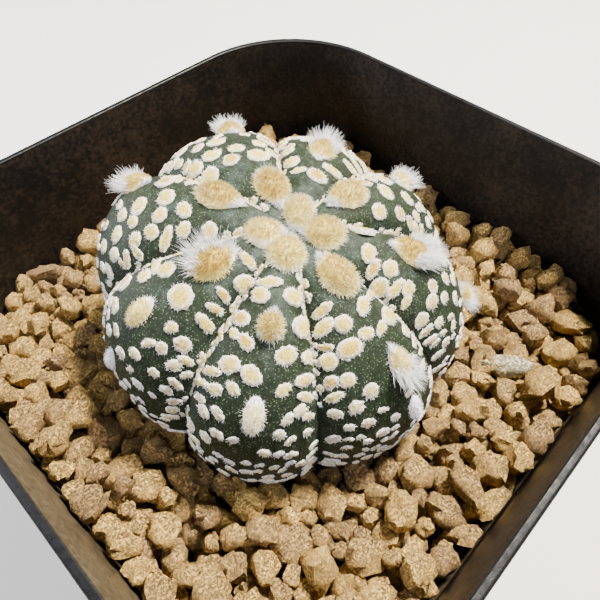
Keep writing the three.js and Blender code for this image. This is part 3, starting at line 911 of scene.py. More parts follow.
def felt_fleck(settings):
    """A fleck of matted hair: dull cream felt, yellow or rusty in the middle, white at the rim."""
    material, add, where = new_material("matted hair fleck")
    rim, tone, white = (
        add("ShaderNodeAttribute", attribute_name=name).outputs["Fac"]
        for name in ("rim", "tone", "white")
    )
    # Matted fibres some 0.3 mm across
    fibres = add(
        "ShaderNodeTexNoise", {"Vector": where, "Scale": 3800, "Detail": 4, "Roughness": 0.7}
    )
    middle = add(
        "ShaderNodeMix",
        {0: tone, 6: rgba(settings.fleck_middle_hex), 7: rgba(settings.fleck_rust_hex)},
        data_type="RGBA",
    )
    # Old felt's grey-white is dimmed by painted shade
    pale = add("ShaderNodeMix", {0: white, 6: middle, 7: rgba(OLD_FELT_SHADED_HEX)}, data_type="RGBA")
    frayed = add("ShaderNodeMath", {0: fibres, 1: 0.9, 2: rim}, operation="MULTIPLY_ADD")
    edge = add("ShaderNodeMapRange", {"Value": frayed, "From Min": 0.95, "From Max": 1.6})
    colour = add(
        "ShaderNodeMix", {0: edge, 6: pale, 7: rgba(settings.fleck_rim_hex)}, data_type="RGBA"
    )
    shade = add(
        "ShaderNodeMapRange",
        {"Value": fibres, "From Min": 0.36, "From Max": 0.6, "To Min": 0.55, "To Max": 1.1},
    )
    shaded = add(
        "ShaderNodeMix", {0: 1.0, 6: colour, 7: shade}, data_type="RGBA", blend_type="MULTIPLY"
    )
    bump = add("ShaderNodeBump", {"Height": fibres, "Strength": 0.8, "Distance": 0.0002})
    look = {"Base Color": shaded, "Roughness": 0.95, "Normal": bump}
    coat(add, {**look, "Specular IOR Level": 0.15})
    return material


def plant_wool(settings):
    """Areole wool: dull hair, golden at the root, pale at the tip partly as a painted highlight,
    white where long or old.
    """
    material, add, where = new_material("areole wool")
    white, tip = (
        add("ShaderNodeAttribute", attribute_name=name).outputs["Fac"] for name in ("white", "tip")
    )
    # Paler tips: partly painted highlight
    tip_highlight_and_bleach = add(
        "ShaderNodeMath", {0: tip, 1: 0.16, 2: white}, operation="MULTIPLY_ADD", use_clamp=True
    )
    colour = add("ShaderNodeValToRGB", {0: tip_highlight_and_bleach})
    set_stops(colour, [(0.0, settings.wool_hex), (0.5, settings.hair_hex), (0.85, WHITE_HEX)])
    # Strands some 0.4 mm across shade one another
    strands = add(
        "ShaderNodeTexNoise", {"Vector": where, "Scale": 2600, "Detail": 3, "Roughness": 0.6}
    )
    shade = add(
        "ShaderNodeMapRange",
        {"Value": strands, "From Min": 0.3, "From Max": 0.65, "To Min": 0.55, "To Max": 1.12},
    )
    shaded = add(
        "ShaderNodeMix", {0: 1.0, 6: colour, 7: shade}, data_type="RGBA", blend_type="MULTIPLY"
    )
    coat(add, {"Base Color": shaded, "Roughness": 0.8, "Specular IOR Level": 0.15})
    return material


def matte_card(name, code):
    """Plain card: an even pale matte."""
    material, add, where = new_material(name)
    tooth = add("ShaderNodeTexNoise", {"Vector": where, "Scale": 900, "Detail": 2})
    bump = add("ShaderNodeBump", {"Height": tooth, "Strength": 0.05, "Distance": 0.0001})
    coat(add, {"Base Color": rgba(code), "Roughness": 0.9, "Normal": bump})
    return material


# Geometry trees


def stand_on_points(add, given, shape, pick=None):
    """Stands a shape, or the picked one of several, on every point by its turn and its size."""
    turn, size = (
        add("GeometryNodeInputNamedAttribute", {"Name": name}, data_type="FLOAT_VECTOR")
        for name in ("turn", "size")
    )
    inputs = {
        "Points": given.outputs["Geometry"],
        "Instance": shape,
        "Rotation": turn,
        "Scale": size,
    }
    if pick is not None:
        inputs |= {"Pick Instance": True, "Instance Index": pick}
    return add("GeometryNodeInstanceOnPoints", inputs)


def finish_tree(add, given, shape, seed=None):
    """Turns instances into plain faces, roughens them if a seed is given, and coats them."""
    real = add("GeometryNodeRealizeInstances", {"Geometry": shape})
    if seed is not None:
        offset = ragged_offset(add, given, seed)
        real = add("GeometryNodeSetPosition", {"Geometry": real, "Offset": offset})
    even = add("GeometryNodeSetShadeSmooth", {"Geometry": real})
    coated = add(
        "GeometryNodeSetMaterial", {"Geometry": even, "Material": given.outputs["Material"]}
    )
    add("NodeGroupOutput", {"Geometry": coated})


def ragged_offset(add, given, seed):
    """An offset along each normal by noise, from the inputs Raggedness and Grain."""
    unevenness = add(
        "ShaderNodeTexNoise",
        {
            "Vector": add("GeometryNodeInputPosition"),
            "Scale": given.outputs["Grain"],
            "Detail": 2.0,
            "Roughness": 0.6,
            "W": seed,
        },
        noise_dimensions="4D",
    )
    swing = add("ShaderNodeMath", {0: unevenness, 1: 0.5}, operation="SUBTRACT")
    reach = add(
        "ShaderNodeMath", {0: swing, 1: given.outputs["Raggedness"]}, operation="MULTIPLY"
    )
    normal = add("GeometryNodeInputNormal")
    return add("ShaderNodeVectorMath", {0: normal, "Scale": reach}, operation="SCALE")


def needle_tree():
    """Stands one bent three-sided hair on every point, by its turn and its size."""
    tree, add, given = new_tree("Hairs", Segments="Int", Bend="Float", Material="Material")
    cone = add(
        "GeometryNodeMeshCone",
        {
            "Vertices": 3,
            "Side Segments": given.outputs["Segments"],
            "Radius Top": 0.12,
            "Radius Bottom": 1.0,
            "Depth": 1.0,
        },
        fill_type="NONE",
    )
    height = add("ShaderNodeSeparateXYZ", {0: add("GeometryNodeInputPosition")}).outputs["Z"]
    rise = add("ShaderNodeMath", {0: height, 1: 2.0}, operation="POWER")
    lean = add("ShaderNodeMath", {0: rise, 1: given.outputs["Bend"]}, operation="MULTIPLY")
    offset = add("ShaderNodeCombineXYZ", {0: lean})
    bent = add("GeometryNodeSetPosition", {"Geometry": cone, "Offset": offset})
    tipped = add(
        "GeometryNodeStoreNamedAttribute",
        {"Geometry": bent, "Name": "tip", "Value": height},
        data_type="FLOAT",
        domain="POINT",
    )
    finish_tree(add, given, stand_on_points(add, given, tipped))
    return tree


def granule_tree():
    """Lays one of a few rough chunks on every point, by its turn, its size and its pick."""
    tree, add, given = new_tree(
        "Granules", Chunks="Collection", Raggedness="Float", Grain="Float", Material="Material"
    )
    chunks = add(
        "GeometryNodeCollectionInfo",
        {"Collection": given.outputs["Chunks"], "Separate Children": True, "Reset Children": True},
    )
    pick = add("GeometryNodeInputNamedAttribute", {"Name": "pick"}, data_type="FLOAT")
    finish_tree(add, given, stand_on_points(add, given, chunks, pick), 3.0)
    return tree


def fleck_tree():
    """Lays one low felt pad on every point, by its turn and its size, with a ragged outline."""
    tree, add, given = new_tree(
        "Flecks", Pad="Object", Raggedness="Float", Grain="Float", Material="Material"
    )
    pad = add("GeometryNodeObjectInfo", {"Object": given.outputs["Pad"]}).outputs["Geometry"]
    finish_tree(add, given, stand_on_points(add, given, pad), 7.0)
    return tree


def thread_tree():
    """Runs a thin uneven thread of felt along every line."""
    tree, add, given = new_tree(
        "Threads", Raggedness="Float", Grain="Float", Width="Float", Material="Material"
    )
    line = add("GeometryNodeMeshToCurve", {"Mesh": given.outputs["Geometry"]})
    thin = add("GeometryNodeInputNamedAttribute", {"Name": "thin"}, data_type="FLOAT")
    curve = add("GeometryNodeSetCurveRadius", {"Curve": line, "Radius": thin})
    section = add(
        "GeometryNodeCurvePrimitiveCircle", {"Resolution": 6, "Radius": given.outputs["Width"]}
    )
    thread = add(
        "GeometryNodeCurveToMesh",
        {"Curve": curve, "Profile Curve": section, "Scale": thin, "Fill Caps": True},
    )
    finish_tree(add, given, thread, 5.0)
    return tree


# Settings


class PotSettings(bpy.types.PropertyGroup):
    wall: bpy.props.FloatProperty(
        name="Wall", description="Thickness of the pot's wall", default=WALL * MM, unit="LENGTH"
    )
    colour_hex: bpy.props.StringProperty(
        name="Plastic", description="Colour of the clean plastic", default="#0f0d0b"
    )
    dust_hex: bpy.props.StringProperty(
        name="Dust", description="Colour of the dusty patches", default="#2b2118"
    )


class SoilSettings(bpy.types.PropertyGroup):
    unevenness: bpy.props.FloatProperty(
        name="Unevenness",
        description="How far a granule's surface departs from a round one",
        default=0.0011,
        unit="LENGTH",
    )
    light_hex: bpy.props.StringProperty(
        name="Pale clay", description="Colour of the palest granules", default="#dbb569"
    )
    dark_hex: bpy.props.StringProperty(
        name="Brown clay", description="Colour of the brownest granules", default="#a88a5e"
    )
    pumice_hex: bpy.props.StringProperty(
        name="Pumice", description="Colour of the few grey-white granules", default="#e2d7ad"
    )


class CactusSettings(bpy.types.PropertyGroup):
    fleck_height: bpy.props.FloatProperty(
        name="Fleck height",
        description="How proud a fleck stands",
        default=0.27 * MM,
        unit="LENGTH",
    )
    hair_width: bpy.props.FloatProperty(
        name="Hair width",
        description="Width of one hair, coarser than life so that it shows",
        default=0.08 * MM,
        unit="LENGTH",
    )
    skin_hex: bpy.props.StringProperty(
        name="Skin", description="Colour of the skin half-way down", default="#1c2617"
    )
    bloom_hex: bpy.props.StringProperty(
        name="Bloom", description="Colour of the skin near the crown", default="#475650"
    )
    shade_hex: bpy.props.StringProperty(
        name="Low skin", description="Colour of the skin near the soil", default="#161e10"
    )
    fleck_middle_hex: bpy.props.StringProperty(
        name="Fleck middle", description="Colour of most flecks' middles", default="#e4cf62"
    )
    fleck_rust_hex: bpy.props.StringProperty(
        name="Rusty middle",
        description="Colour of the rustiest flecks' middles",
        default="#b98a34",
    )
    fleck_rim_hex: bpy.props.StringProperty(
        name="Fleck rim", description="Colour of the flecks' rims", default="#fdfcf4"
    )
    wool_hex: bpy.props.StringProperty(
        name="Young wool", description="Colour of young areole wool", default="#b08a1e"
    )
    hair_hex: bpy.props.StringProperty(
        name="White hair", description="Colour of long and old hair", default="#f6e48e"
    )


class StageSettings(bpy.types.PropertyGroup):
    floor_hex: bpy.props.StringProperty(
        name="Floor", description="Colour of the floor", default="#dedbd5"
    )
    light: bpy.props.FloatProperty(
        name="Main light", description="Power of the main light", default=25.0, unit="POWER"
    )


# Pieces


def pot_profiles(wall):
    collar_top = RIM_HALF - LIP_PROUD
    collar_foot = collar_top - COLLAR_DRAFT
    body_top = collar_foot - COLLAR_STEP
    step_top = POT_HEIGHT - COLLAR_DEPTH
    step_foot = step_top - STEP_SLOPE
    lip_foot = POT_HEIGHT - LIP_HEIGHT
    rounding = [
        (
            POT_HEIGHT - LIP_ROUNDING * (1 - math.sin(turn)),
            RIM_HALF - LIP_ROUNDING * (1 - math.cos(turn)),
        )
        for turn in (0, math.pi / 8, math.pi / 4, 3 * math.pi / 8, math.pi / 2)
    ]
    outer = [
        (0, FOOT_HALF - FOOT_CHAMFER),
        (FOOT_CHAMFER, FOOT_HALF),
        (step_foot, body_top),
        (step_foot + 0.25, body_top + 0.15),
        (step_top - 0.2, collar_foot - 0.1),
        (step_top, collar_foot),
        (lip_foot, collar_top),
        (lip_foot + 0.15, collar_top + 0.28),
        (lip_foot + LIP_ROUNDING, RIM_HALF),
        *rounding,
    ]
    inner = [
        (FOOT_RECESS + FLOOR_THICKNESS, FOOT_HALF - wall),
        (step_foot, body_top - wall),
        (step_top + wall, collar_foot - wall),
        (lip_foot, collar_top - wall),
        (POT_HEIGHT - LIP_ROUNDING, RIM_HALF - wall),
        (POT_HEIGHT - LIP_ROUNDING / 4, RIM_HALF - wall + 0.04),
        (POT_HEIGHT, RIM_HALF - wall + LIP_ROUNDING / 2),
    ]
    return outer, inner


def box_cutter(size, middle, turn):
    """A box that cuts the pot, in millimetres, turned about the pot's axis."""
    corners = [(x, y, z) for x in (-0.5, 0.5) for y in (-0.5, 0.5) for z in (-0.5, 0.5)]
    rotation = Matrix.Rotation(turn, 3, "Z")
    vertices = [
        rotation @ Vector([c * s + m for c, s, m in zip(corner, size, middle)])
        for corner in corners
    ]
    faces = [(0, 1, 3, 2), (4, 6, 7, 5), (0, 4, 5, 1), (2, 3, 7, 6), (0, 2, 6, 4), (1, 5, 7, 3)]
    return vertices, faces


class POT_OT_build(bpy.types.Operator):
    """Moulds the pot: wall, collar, lip, foot, drain slots and vents"""

    bl_idname = "potted_cactus.pot"
    bl_label = "Pot"

    def execute(self, context):
        settings = context.scene.potted_cactus_pot
        material = moulded_polypropylene(settings)
        outer, inner = pot_profiles(settings.wall / MM)
        foot_inner = FOOT_HALF - FOOT_CHAMFER - FOOT_WIDTH
        rings = [rounded_square(foot_inner, FOOT_RECESS), rounded_square(foot_inner, 0)]
        rings += [rounded_square(half, height) for height, half in outer]
        rings += [rounded_square(half, height) for height, half in reversed(inner)]
        pot = mesh_object("pot_shell", *loft(rings), material)
        vertices, faces = [], []
        cutters = [
            box_cutter(
                (*DRAIN_SIZE, 3 * FLOOR_THICKNESS),
                (DRAIN_RADIUS, 0, FOOT_RECESS + FLOOR_THICKNESS / 2),
                (i + 0.5) / DRAIN_COUNT * 2 * math.pi,
            )
            for i in range(DRAIN_COUNT)
        ]
        vent = (VENT_REACH, VENT_SIZE[0], 2 * VENT_SIZE[1])
        cutters += [
            box_cutter(vent, (FOOT_HALF + VENT_OUT, 0, 0), turn * math.pi / 2)
            for turn in (0.5, 1.5, 2.5, 3.5)
        ]
        for cut_vertices, cut_faces in cutters:
            start = len(vertices)
            vertices += cut_vertices
            faces += [tuple(start + i for i in face) for face in cut_faces]
        cutter = mesh_object("pot_cutter", vertices, faces, material)
        modifier = pot.modifiers.new("Slots", "BOOLEAN")
        modifier.object = cutter
        modifier.operation = "DIFFERENCE"
        modifier.solver = "EXACT"
        bake(pot)
        bpy.data.objects.remove(cutter)
        pot.data.set_sharp_from_angle(angle=SHARP_EDGE)
        finish_piece(pot, "pot", "pot")
        return {"FINISHED"}


def pour_points(draw):
    """Places for the granules of one layer, about a pour pitch apart."""
    height = math.sqrt(0.75)
    rows = math.ceil(RIM_HALF / (POUR_PITCH * height)) + 1
    columns = math.ceil(RIM_HALF / POUR_PITCH + rows / 2)
    for row in range(-rows, rows + 1):
        for column in range(-columns, columns + 1):
            x = (column + row / 2) * POUR_PITCH + (draw() - 0.5) * POUR_JITTER
            y = row * POUR_PITCH * height + (draw() - 0.5) * POUR_JITTER
            yield x, y


def around_wall(half, pitch):
    """Points a pitch apart round a rounded square."""
    corners = rounded_square(half, 0)
    lengths = [0.0]
    for (x, y, _), (next_x, next_y, _) in zip(corners, corners[1:] + corners[:1]):
        lengths.append(lengths[-1] + math.hypot(next_x - x, next_y - y))
    xs = [x for x, _, _ in corners] + [corners[0][0]]
    ys = [y for _, y, _ in corners] + [corners[0][1]]
    for place in np.arange(0, lengths[-1] - pitch / 2, pitch):
        yield np.interp(place, lengths, xs), np.interp(place, lengths, ys)


def past_wall(places, margins):
    """How far points lie past a margin inside the pot's wall, across the pot, in millimetres."""
    levels, halves = zip(*pot_profiles(WALL)[1])
    half = (np.interp(places[:, 2] - 0.6 * margins, levels, halves) - GAP)[:, None]
    corner = half * CORNER_RATIO
    over = np.maximum(np.abs(places[:, :2]) - (half - corner), 0)
    length = np.hypot(over[:, 0], over[:, 1]) + 1e-6
    excess = np.maximum(length - (corner[:, 0] - margins), 0)
    return np.sign(places[:, :2]) * over * (excess / length)[:, None]


def beside_body(points):
    """About how far outside the plant's body points lie, in millimetres, and the way out of it."""
    turn = np.array(BODY_PLACE.to_3x3())
    near = (points - np.array(WAIST)) @ turn
    azimuths = np.degrees(np.arctan2(near[:, 1], near[:, 0]))
    table = [reach_at(azimuth) for azimuth in range(-180, 181, 5)]
    radius = BODY_RADIUS * np.interp(azimuths, range(-180, 181, 5), table)
    depth = np.where(near[:, 2] < 0, UNDERSIDE_DEPTH, DOME_HEIGHT)
    shares = np.stack([near[:, 0] / radius, near[:, 1] / radius, near[:, 2] / depth], 1)
    slope = shares / np.stack([radius, radius, depth], 1) * 2
    steep = np.sqrt((slope**2).sum(1)) + 1e-6
    room = ((shares**2).sum(1) - 1) / steep
    return room, (slope / steep[:, None]) @ turn.T


class SOIL_OT_build(bpy.types.Operator):
    """Fills the pot with baked clay granules on a bed of the same clay"""

    bl_idname = "potted_cactus.soil"
    bl_label = "Soil"

    def execute(self, context):
        settings = context.scene.potted_cactus_soil
        material = baked_clay(settings)
        self.lay_bed(material)
        self.lay_granules(settings, material)
        return {"FINISHED"}

    def lay_bed(self, material):
        _, inner = pot_profiles(WALL)
        top = BED_TOP - BED_DROP
        floor = FOOT_RECESS + FLOOR_THICKNESS + GAP
        levels = [floor] + [height for height, _ in inner[1:] if height < top] + [top]
        rings = [rounded_square(interpolate(inner, level) - GAP, level) for level in levels]
        vertices, faces = loft(rings)
        tones = [BED_SHADE_TONE] * len(vertices)
        bed = mesh_object("soil_bed", vertices, faces, material, {"tone": tones})
        bed.data.set_sharp_from_angle(angle=SHARP_EDGE)
        finish_piece(bed, "soil", "soil")

    def make_chunks(self, draw):
        """A few angular chunks of unit width with worn edges and dents."""
        chunks = bpy.data.collections.new("granule chunks")
        for number in range(CHUNK_SHAPES):
            # Flat faces with worn edges, then shallow dents
            ball = bmesh.new()
            bmesh.ops.create_icosphere(ball, subdivisions=4, radius=1)
            normals = [
                Vector((draw() - 0.5, draw() - 0.5, draw() - 0.5)).normalized()
                for _ in range(CHUNK_PLANES)
            ]
            depths = [0.38 + 0.2 * draw() for _ in normals]
            for vertex in ball.verts:
                heading = vertex.co.normalized()
                blunt = sum(
                    (max(heading.dot(normal), 0) / depth) ** CHUNK_SHARPNESS
                    for normal, depth in zip(normals, depths)
                )
                reach = min((blunt + 1e-6) ** (-1 / CHUNK_SHARPNESS), 0.6)
                dents = noise.noise(heading * 1.7 + Vector((number, 0, 0))) * 0.12
                dents += noise.noise(heading * 4.5 + Vector((0, number, 0))) * 0.12
                vertex.co = heading * (reach + dents)
            mesh = bpy.data.meshes.new(f"chunk_{number:02d}")
            ball.to_mesh(mesh)
            ball.free()
            chunk = bpy.data.objects.new(mesh.name, mesh)
            bpy.context.collection.objects.link(chunk)
            thin = chunk.modifiers.new("Few faces", "DECIMATE")
            thin.ratio = CHUNK_FACES / len(mesh.polygons)
            bake(chunk)
            bpy.context.collection.objects.unlink(chunk)
            chunks.objects.link(chunk)
        return chunks

    def lay_granules(self, settings, material):
        draw = seeded(GRANULE_SEED)
        places, widths = self.settle(*self.pour(draw))
        sizes, turns, tones, picks = [], [], [], []
        for place, width in zip(places, widths):
            stretch = [0.95 + 0.5 * draw() ** 2, 0.85 + 0.25 * draw(), 0.8 + 0.25 * draw()]
            sizes.append([width * MM * s for s in stretch])
            turns.append([draw() * 2 * math.pi for _ in range(3)])
            # Low ones are browner: partly damper clay, partly painted shade between the granules
            tones.append(0.95 * draw() * (0.25 + 0.75 * smooth((place[2] - BED_TOP + 1.5) / 2)))
            picks.append(math.floor(draw() * CHUNK_SHAPES))
        places = np.vstack([places, PUMICE["place"]])
        sizes.append([PUMICE["width"] * MM * s for s in PUMICE["stretch"]])
        turns.append(PUMICE["turn"])
        tones.append(1)
        picks.append(0)
        chunks = self.make_chunks(draw)
        cloud = scatter(
            "granules",
            material,
            granule_tree(),
            {"Chunks": chunks, "Raggedness": settings.unevenness, "Grain": GRANULE_GRAIN},
            places,
            size=sizes,
            turn=turns,
            tone=tones,
            pick=picks,
        )
        self.press_to_wall(cloud.data)
        cloud.data.set_sharp_from_angle(angle=GRANULE_EDGE)
        for chunk in list(chunks.objects):
            bpy.data.objects.remove(chunk)
        bpy.data.collections.remove(chunks)
        finish_piece(cloud, "soil", "soil")

    def press_to_wall(self, mesh):
        """Flattens the granules that reach the wall against it."""
        places = np.empty(len(mesh.vertices) * 3)
        mesh.vertices.foreach_get("co", places)
        places = places.reshape(-1, 3) / MM
        places[:, :2] -= past_wall(places, np.zeros(len(places)))
        mesh.vertices.foreach_set("co", (places * MM).ravel())
        mesh.update()

    def pour(self, draw):
        """Granules in three loose layers, and rings of them along the wall."""
        places, widths = [], []
        heap_x, heap_y, heap_spread, heap_rise = HEAP
        far, slant, spread, sink = HOLLOW

        def lay(x, y, z, width, clear=0.0):
            z += heap_rise * math.exp(-((x - heap_x) ** 2 + (y - heap_y) ** 2) / heap_spread**2)
            z -= sink * smooth((max(x, y - slant) - far) / spread)
            if z < BED_TOP - LOOSE_DEPTH - 1 or depth_in_square(x, y, POUR_EDGE) < clear:
                return
            if beside_body(np.array([[x, y, z]]))[0][0] > -1:
                places.append((x, y, z))
                widths.append(width)

        # The layer that shows, one under it, a few strays on top, and the rings along the wall
        for x, y in pour_points(draw):
            width = 2.5 + 2.3 * draw() ** 1.3
            height = BED_TOP + GRANULE_HEIGHT + (draw() - 0.5) * GRANULE_RISE - 0.5 * width
            lay(x, y, height, width, 1.6)
        for x, y in pour_points(draw):
            lay(x, y, BED_TOP - 2.6, 2.6 + 2 * draw(), 1.6)
        for x, y in pour_points(draw):
            if draw() < 0.1:
                lay(x, y, BED_TOP + 2.4, 1.8 + 1.4 * draw(), 2.4)
        for inset, height in WALL_RINGS:
            for x, y in around_wall(POUR_EDGE - inset, WALL_PITCH):
                lay(x + (draw() - 0.5), y + (draw() - 0.5), BED_TOP + height, 2.6 + 1.8 * draw())
        return np.array(places), np.array(widths)

    def settle(self, places, widths):
        """Lets granules sink and push each other apart inside the pot and round the plant."""
        count = len(widths)
        gaps = places[:, None, :] - places[None, :, :]
        first, second = np.nonzero(np.triu((gaps**2).sum(2) < SETTLE_REACH**2, 1))
        reach = (widths[first] + widths[second]) * NEAR_GRANULE
        for _ in range(SETTLE_ROUNDS):
            places[:, 2] -= SETTLE_SINK
            gaps = places[first] - places[second]
            apart = np.sqrt((gaps**2).sum(1)) + 1e-6
            push = gaps * (SETTLE_PUSH * np.maximum(reach - apart, 0) / apart)[:, None]
            for axis in range(3):
                places[:, axis] += np.bincount(first, push[:, axis], count)
                places[:, axis] -= np.bincount(second, push[:, axis], count)
            room, out = beside_body(places)
            places += out * np.maximum(NEAR_PLANT * widths - room, 0)[:, None]
            places[:, :2] -= past_wall(places, NEAR_WALL * widths)
            places[:, 2] = np.maximum(places[:, 2], BED_TOP - LOOSE_DEPTH + 0.3 * widths)
        return places, widths


def skin_steps(across_steps, spacing):
    """Azimuths packed towards the grooves, and falls at an even spacing along the skin."""
    azimuths = []
    for rib in RIBS:
        for step in range(across_steps):
            u = math.sin(math.pi / 2 * (2 * step / across_steps - 1))
            flank = rib["crest"] - rib["groove"]
            if u > 0:
                flank = rib["groove"] + rib["width"] - rib["crest"]
            azimuths.append(rib["crest"] + u * flank)
    length = SKIN_LENGTHS[-1][0]
    count = round(length / spacing)
    lengths = [(i + 1) / count * length for i in range(count)]
    return azimuths, [interpolate(SKIN_LENGTHS, distance) for distance in lengths]


class BODY_OT_build(bpy.types.Operator):
    """Grows the plant's ribbed body and its taproot"""

    bl_idname = "potted_cactus.body"
    bl_label = "Body"

    def execute(self, context):
        material = plant_skin(context.scene.potted_cactus_plant)
        azimuths, falls = skin_steps(SKIN_ACROSS, SKIN_SPACING)
        rings = [[skin_point(azimuth, fall) for azimuth in azimuths] for fall in reversed(falls)]
        vertices = [BODY_PLACE @ point for ring in rings for point in ring]
        vertices.append(BODY_PLACE @ (sum(rings[0], Vector()) / len(azimuths)))
        vertices.append(BODY_PLACE @ skin_point(0, 0.01))
        groove = [abs(across_rib(rib_at(azimuth), azimuth)) for azimuth in azimuths]
        fade = [smooth(fall / GROOVE_START) for fall in reversed(falls)]
        attributes = {
            "fall": [fall / CUT_FALL for fall in reversed(falls) for _ in azimuths] + [1, 0],
            "groove": [g * f for f in fade for g in groove] + [0, 0],
        }
        faces = loft_faces(len(rings), len(azimuths))
        body = mesh_object("cactus_skin", vertices, faces, material, attributes)
        finish_piece(body, "cactus", "cactus")
        self.grow_root(material)
        return {"FINISHED"}

    def grow_root(self, material):
        rings = []
        for radius, height in ROOT_PROFILE:
            ring = []
            for side in range(ROOT_SIDES):
                angle = side / ROOT_SIDES * 2 * math.pi
                swell = radius * (1 + 0.06 * math.sin(3 * angle + height))
                point = Vector((swell * math.cos(angle), swell * math.sin(angle), height))
                ring.append(tuple(BODY_PLACE @ point))
            rings.append(ring)
        vertices, faces = loft(rings)
        attributes = {"fall": [1.0] * len(vertices), "groove": [0.0] * len(vertices)}
        root = mesh_object("taproot", vertices, faces, material, attributes)
        finish_piece(root, "cactus", "cactus")


def pad_shape(sides, profile, scallop):
    """A round scalloped pad of unit radius and height, and its points' distances from the axis."""
    rings = []
    for radius, z in profile:
        ring = []
        for side in range(sides):
            turn = 2 * math.pi * side / sides
            reach = radius * (1 + scallop * (-1) ** side)
            ring.append((reach * math.cos(turn), reach * math.sin(turn), z))
        rings.append(ring)
    vertices = [point for ring in rings for point in ring] + [(0, 0, 1)]
    faces = loft_faces(len(rings), sides, first_cap=False)
    rim = [radius for radius, _ in profile for _ in range(sides)] + [0]
    return vertices, faces, rim


class Hairs:
    """Hairs that grow as one piece, each with its root, its size, its turn and how white it is."""

    def __init__(self, width):
        self.width = width
        self.points, self.sizes, self.turns, self.whites = [], [], [], []

    def stand(self, place, root, heading, length, white, spin=0.0):
        """Adds a hair, its length in metres, its root and heading in a frame on the skin."""
        out = (place.to_3x3() @ heading).normalized().to_track_quat("Z", "X")
        self.points.append(place @ root)
        self.sizes.append([self.width / 2, self.width / 2, length])
        self.turns.append(list((out @ Quaternion((0, 0, 1), spin)).to_euler()))
        self.whites.append(white)

    def grow(self, name, material, segments, bend):
        attributes = {"size": self.sizes, "turn": self.turns, "white": self.whites}
        values = {"Segments": segments, "Bend": bend}
        hairs = scatter(name, material, needle_tree(), values, self.points, **attributes)
        finish_piece(hairs, "cactus", "cactus")


class FLECKS_OT_build(bpy.types.Operator):
    """Sets the felt flecks on the ribs, with short hairs round their rims"""

    bl_idname = "potted_cactus.flecks"
    bl_label = "Flecks"

    def execute(self, context):
        settings = context.scene.potted_cactus_plant
        draw = seeded(FELT_SEED)
        rows = []
        for azimuth, fall, size, aspect, turn, point in row_flecks():
            if draw() < bareness(azimuth, fall):
                continue
            # Low flecks are smaller and wider
            low = smooth((fall - 50) / 35)
            size *= (0.72 + 0.26 * draw()) * (1.32 - 0.26 * smooth((fall - 18) / 40) - 0.22 * low)
            aspect = (1 + 0.8 * (aspect - 1.1)) * (1 + 0.35 * low)
            if all((point - r[5]).length > FELT_CLEAR * (size + r[2]) for r in rows):
                rows.append((azimuth, fall, size, aspect, turn, point))
        flecks = rows + late_flecks(rows)
        material = felt_fleck(settings)
        vertices, faces, rim = pad_shape(PAD_SIDES, PAD_PROFILE, PAD_SCALLOP)
        # One metre in radius, for each fleck's size to scale
        unit_pad = [[c / MM for c in v] for v in vertices]
        pad = mesh_object("fleck_pad", unit_pad, faces, None, {"rim": rim})
        points, sizes, turns, tones, whites = [], [], [], [], []
        fuzz = Hairs(settings.hair_width)
        for azimuth, fall, size, aspect, turn, _ in flecks:
            place = skin_frame(azimuth, fall) @ Matrix.Rotation(turn, 4, "Z")
            long, wide = size / math.sqrt(aspect) / 2, size * math.sqrt(aspect) / 2
            height = settings.fleck_height * (0.3 + 0.7 * size / FLECK_LARGE)
            height *= 0.8 + 0.4 * draw()
            points.append(place.translation)
            sizes.append([long * MM, wide * MM, height])
            turns.append(list(place.to_euler()))
            # Low ones and small ones have lost their yellow; the grey of their old felt is partly
            # painted shade
            old = smooth((fall - 32) / 45) + smooth((1.1 - size) / 0.4)
            tones.append(0.8 * draw() ** 2.6)
            whites.append(min(old * (0.35 + 0.75 * draw()), 1))
            for _ in range(round(8 + 12 * size)):
                angle = draw() * 2 * math.pi
                away = 0.97 if draw() < 0.7 else math.sqrt(draw())
                x, y = away * long * math.cos(angle), away * wide * math.sin(angle)
                lift = height / MM * (0.9 - 0.6 * away**3)
                heading = Vector(
                    (
                        math.cos(angle) * away + 0.6 * (draw() - 0.5),
                        math.sin(angle) * away + 0.6 * (draw() - 0.5),
                        0.2 + 0.4 * draw(),
                    )
                )
                length = (0.16 + 0.22 * draw()) * MM * (0.6 + 0.4 * size / FLECK_LARGE)
                fuzz.stand(place, Vector((x, y, lift)), heading, length, 0.75 + 0.25 * draw())
        cloud = scatter(
            "flecks",
            material,
            fleck_tree(),
            {"Pad": pad, **FLECK_FELT},
            points,
            size=sizes,
            turn=turns,
            tone=tones,
            white=whites,
        )
        bpy.data.objects.remove(pad)
        finish_piece(cloud, "cactus", "cactus")
        fuzz.grow("fleck_fuzz", plant_wool(settings), 1, 0.0)
        return {"FINISHED"}


class THREADS_OT_build(bpy.types.Operator):
    """Lays the thin felt threads that run down the grooves from the crown"""

    bl_idname = "potted_cactus.threads"
    bl_label = "Groove threads"

    def execute(self, context):
        settings = context.scene.potted_cactus_plant
        draw = seeded(THREAD_SEED)
        material = felt_fleck(settings)
        vertices, edges, thins, whites = [], [], [], []
        for rib in RIBS:
            reach = 14 + 18 * draw()
            length = THREAD_START
            start = len(vertices)
            while length < reach:
                fall = interpolate(SKIN_LENGTHS, length)
                sway = math.degrees(0.22 * (draw() - 0.5) / profile_at(fall)[0])
                place = skin_frame(rib["groove"] + sway, fall)
                vertices.append(place @ Vector((0, 0, 0.05)))
                thins.append((0.25 + 0.6 * draw()) * (1 - 0.6 * (length / reach) ** 2))
                whites.append(0.55 + 0.45 * draw())
                length += THREAD_STEP
            edges += [(i, i + 1) for i in range(start, len(vertices) - 1)]
        threads = scatter(
            "groove_threads",
            material,
            thread_tree(),
            THREAD_FELT,
            vertices,
            edges,
            thin=thins,
            white=whites,
        )
        finish_piece(threads, "cactus", "cactus")
        return {"FINISHED"}


